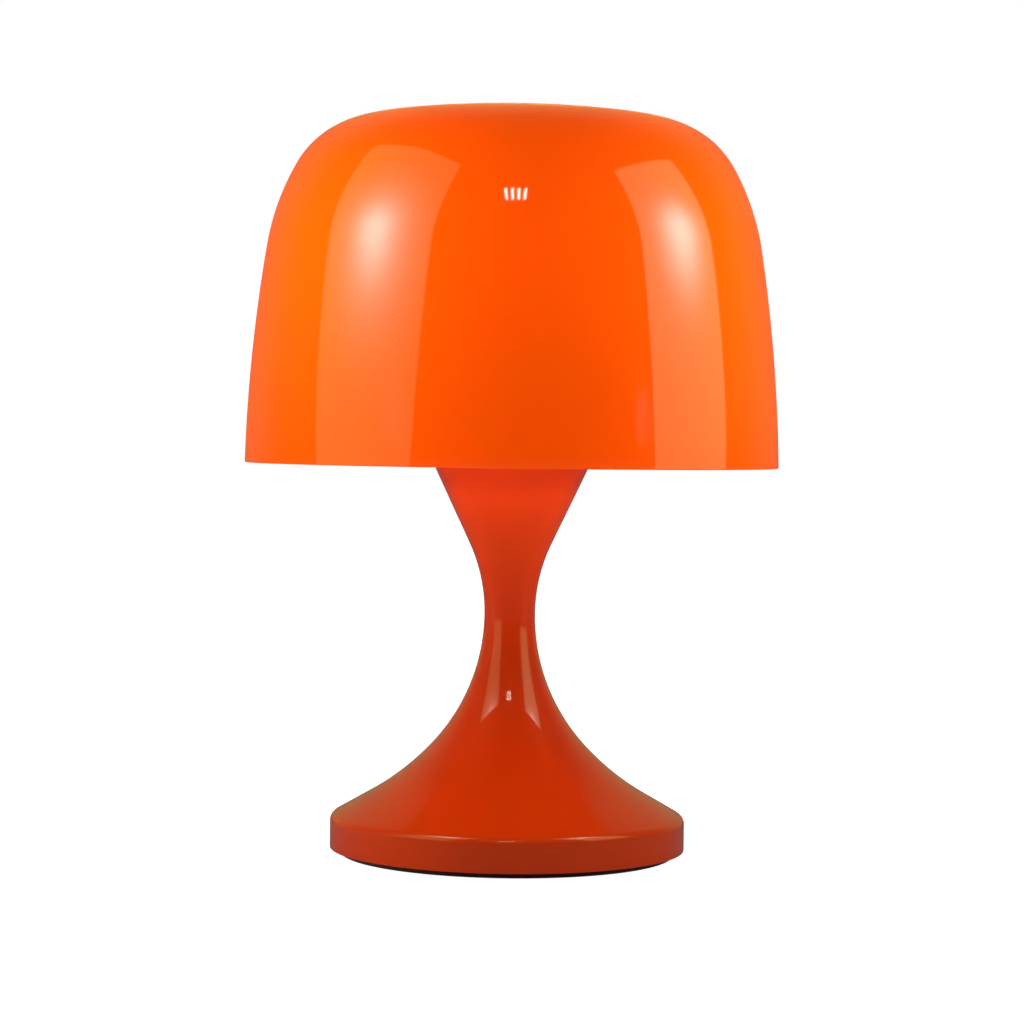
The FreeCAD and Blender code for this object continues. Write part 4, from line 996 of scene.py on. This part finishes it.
class LAMP_OT_stage(bpy.types.Operator):
    """Sets the floor, the soft studio light and the camera"""
    bl_idname = "lamp.stage"
    bl_label = "Stage"

    def execute(self, context):
        scene, s = context.scene, context.scene.lamp_studio
        self.add_floor()
        self.add_world(scene, s)
        self.add_lights(s)
        self.add_camera(scene, s)
        scene.view_settings.view_transform = "Standard"
        return {"FINISHED"}

    def add_floor(self):
        """A square floor just under the lamp."""
        reach, level = 6.0, -0.0002
        corners = [(-reach, -reach, level), (reach, -reach, level),
                   (reach, reach, level), (-reach, reach, level)]
        mesh = bpy.data.meshes.new("floor")
        mesh.from_pydata(corners, [], [(0, 1, 2, 3)])
        mesh.materials.append(finish("floor"))
        floor = linked("floor", mesh)

    def add_world(self, scene, s):
        """White to the camera, and in gloss a dim warm room that is lighter behind the lamp.

        Its light on the lamp is 0.3 of the fill in front and behind, and rises with the square of
        how far a direction points to the side.
        """
        world = bpy.data.worlds.new("studio")
        scene.world = world
        world.use_nodes = True
        tree = world.node_tree
        here = add(tree, "TexCoord").outputs["Generated"]
        parts = add(tree, "SeparateXYZ", {0: here}).outputs
        dim, starts, full = 0.03, 0.35, 0.75
        behind = ranged(tree, parts["Y"], starts, full, dim, s.backdrop,
                        interpolation_type="SMOOTHSTEP")
        path = add(tree, "LightPath")
        gloss = either_gloss(tree, path)
        sides = joined(tree, "MULTIPLY", parts["X"], parts["X"])
        level, sideways = 0.3 * s.fill, 2.4 * s.fill
        all_round = joined(tree, "MULTIPLY_ADD", sides, sideways, level)
        mixed = add(tree, "Mix", {"Factor": gloss, "A": all_round, "B": behind})
        tint = add(tree, "Mix", {"Factor": gloss, 6: (1, 1, 1, 1), 7: (1, 0.93, 0.45, 1)},
                   data_type="RGBA")
        camera, dimmed = path.outputs["Is Camera Ray"], mixed.outputs["Result"]
        set_inputs(tree, tree.nodes["Background"], {
            "Strength": joined(tree, "MAXIMUM", camera, dimmed), "Color": tint.outputs[2]})

    def add_lights(self, s):
        """The panels and tubes that the gloss shows, and the soft lights that it doesn't."""
        panel("left_panel", -57.9, 16.2, 0.30, (-0.074, 0.145), (-0.215, 0.236), 1.2,
              [(0.034, 0.069, 0.036, 7.7), (0.038, 0.069, 0.074, 3.4)])
        panel("right_panel", 64.4, 5.9, 0.30, (-0.092, 0.087), (-0.140, 0.280), 1.6,
              [(0.0, 0.127, 0.044, 10.0), (0.0, 0.110, 0.150, 0.8)])
        tube_light("ceiling_tubes", 0.5, 40.3, 3.0, (-0.245, 0.245), (-0.14, 0.14), s.tubes)
        white, orange = (1.0, 1.0, 1.0), (1.0, 0.65, 0.45)
        front, neck = 0.4 * s.bounce, 1.25 * s.bounce
        # Name, place, point aimed at, width, height, brightness, spread in degrees, colour.
        for light in (
            ("front_bounce", (-0.20, -0.95, 0.05), (0, 0, 0.235), 0.5, 0.12, front, 16, orange),
            ("neck_bounce", (-0.08, -0.50, 0.05), (0, -0.05, 0.224), 0.2, 0.04, neck, 13, orange),
            ("left_key", (-0.946, -0.739, 0.36), (0, 0, 0.325), 0.3, 0.1, s.key, 17, white),
            ("right_key", (0.995, -0.671, 0.36), (0, 0, 0.325), 0.3, 0.1, s.key, 17, white),
            ("left_rim", (-1.0, 0.35, 0.36), (0, 0, 0.32), 0.3, 0.1, 1.1, 18, white),
            ("right_rim", (1.0, 0.35, 0.36), (0, 0, 0.32), 0.3, 0.1, 1.1, 18, white),
            ("left_low", (-0.97, -0.26, 0.05), (0, 0, 0.205), 0.4, 0.1, 0.5, 15, white),
            ("right_low", (0.97, -0.26, 0.05), (0, 0, 0.205), 0.4, 0.1, 0.5, 15, white),
            ("side_bounce", (-1.0, 0.1, 0.08), (0, 0, 0.04), 0.4, 0.1, 0.42, 16, white),
            ("top_fill", (0, 0.45, 1.35), (0, 0, 0.40), 0.5, 0.5, s.top, 30, white),
            ("back_fill", (0, 1.3, 0.45), (0, 0, 0.25), 0.8, 0.3, s.back, 30, white),
        ):
            soft_light(*light)

    def add_camera(self, scene, s):
        """The photograph's own view, from a fit to the lamp's outlines: low and nearly head on."""
        place_at, pitch, roll = (0.00054, -1.610, 0.23965), 0.0286, 0.0131
        camera = bpy.data.cameras.new("camera")
        camera.lens = s.focal_length
        camera.sensor_width = 36.0
        forward = Vector((0, math.cos(pitch), -math.sin(pitch)))
        up = Vector((0, math.sin(pitch), math.cos(pitch)))
        right = Vector((1, 0, 0))
        across = math.cos(roll) * right + math.sin(roll) * up
        above = math.cos(roll) * up - math.sin(roll) * right
        turned = Matrix((across, above, -forward)).transposed().to_4x4()
        scene.camera = linked("camera", camera)
        scene.camera.matrix_world = Matrix.Translation(place_at) @ turned


OPERATORS = (
    LAMP_OT_finishes, LAMP_OT_shade, LAMP_OT_shade_lugs, LAMP_OT_casing, LAMP_OT_foot,
    LAMP_OT_bulb, LAMP_OT_lampholder, LAMP_OT_carrier_tips, LAMP_OT_stage,
)
SETTINGS = {
    "lamp_shade": LampShadeSettings,
    "lamp_casing": LampCasingSettings,
    "lamp_bulb": LampBulbSettings,
    "lamp_holder": LampHolderSettings,
    "lamp_studio": LampStudioSettings,
}


class LAMP_PT_sidebar(bpy.types.Panel):
    """Lists the lamp's pieces and their sizes and colours"""
    bl_idname = "LAMP_PT_sidebar"
    bl_label = "Table Lamp"
    bl_space_type = "VIEW_3D"
    bl_region_type = "UI"
    bl_category = "Lamp"

    def draw(self, context):
        for name, group in SETTINGS.items():
            box = self.layout.box()
            for prop in group.__annotations__:
                box.prop(getattr(context.scene, name), prop)
        for operator in OPERATORS:
            self.layout.operator(operator.bl_idname)


def register():
    for group in SETTINGS.values():
        bpy.utils.register_class(group)
    for operator in OPERATORS:
        bpy.utils.register_class(operator)
    bpy.utils.register_class(LAMP_PT_sidebar)
    for name, group in SETTINGS.items():
        setattr(bpy.types.Scene, name, PointerProperty(type=group))


def unregister():
    for name in SETTINGS:
        delattr(bpy.types.Scene, name)
    bpy.utils.unregister_class(LAMP_PT_sidebar)
    for operator in reversed(OPERATORS):
        bpy.utils.unregister_class(operator)
    for group in reversed(SETTINGS.values()):
        bpy.utils.unregister_class(group)


def main():
    register()
    for operator in OPERATORS:
        area, name = operator.bl_idname.split(".")
        getattr(getattr(bpy.ops, area), name)()
    bpy.context.view_layer.update()


if __name__ == "__main__":
    main()
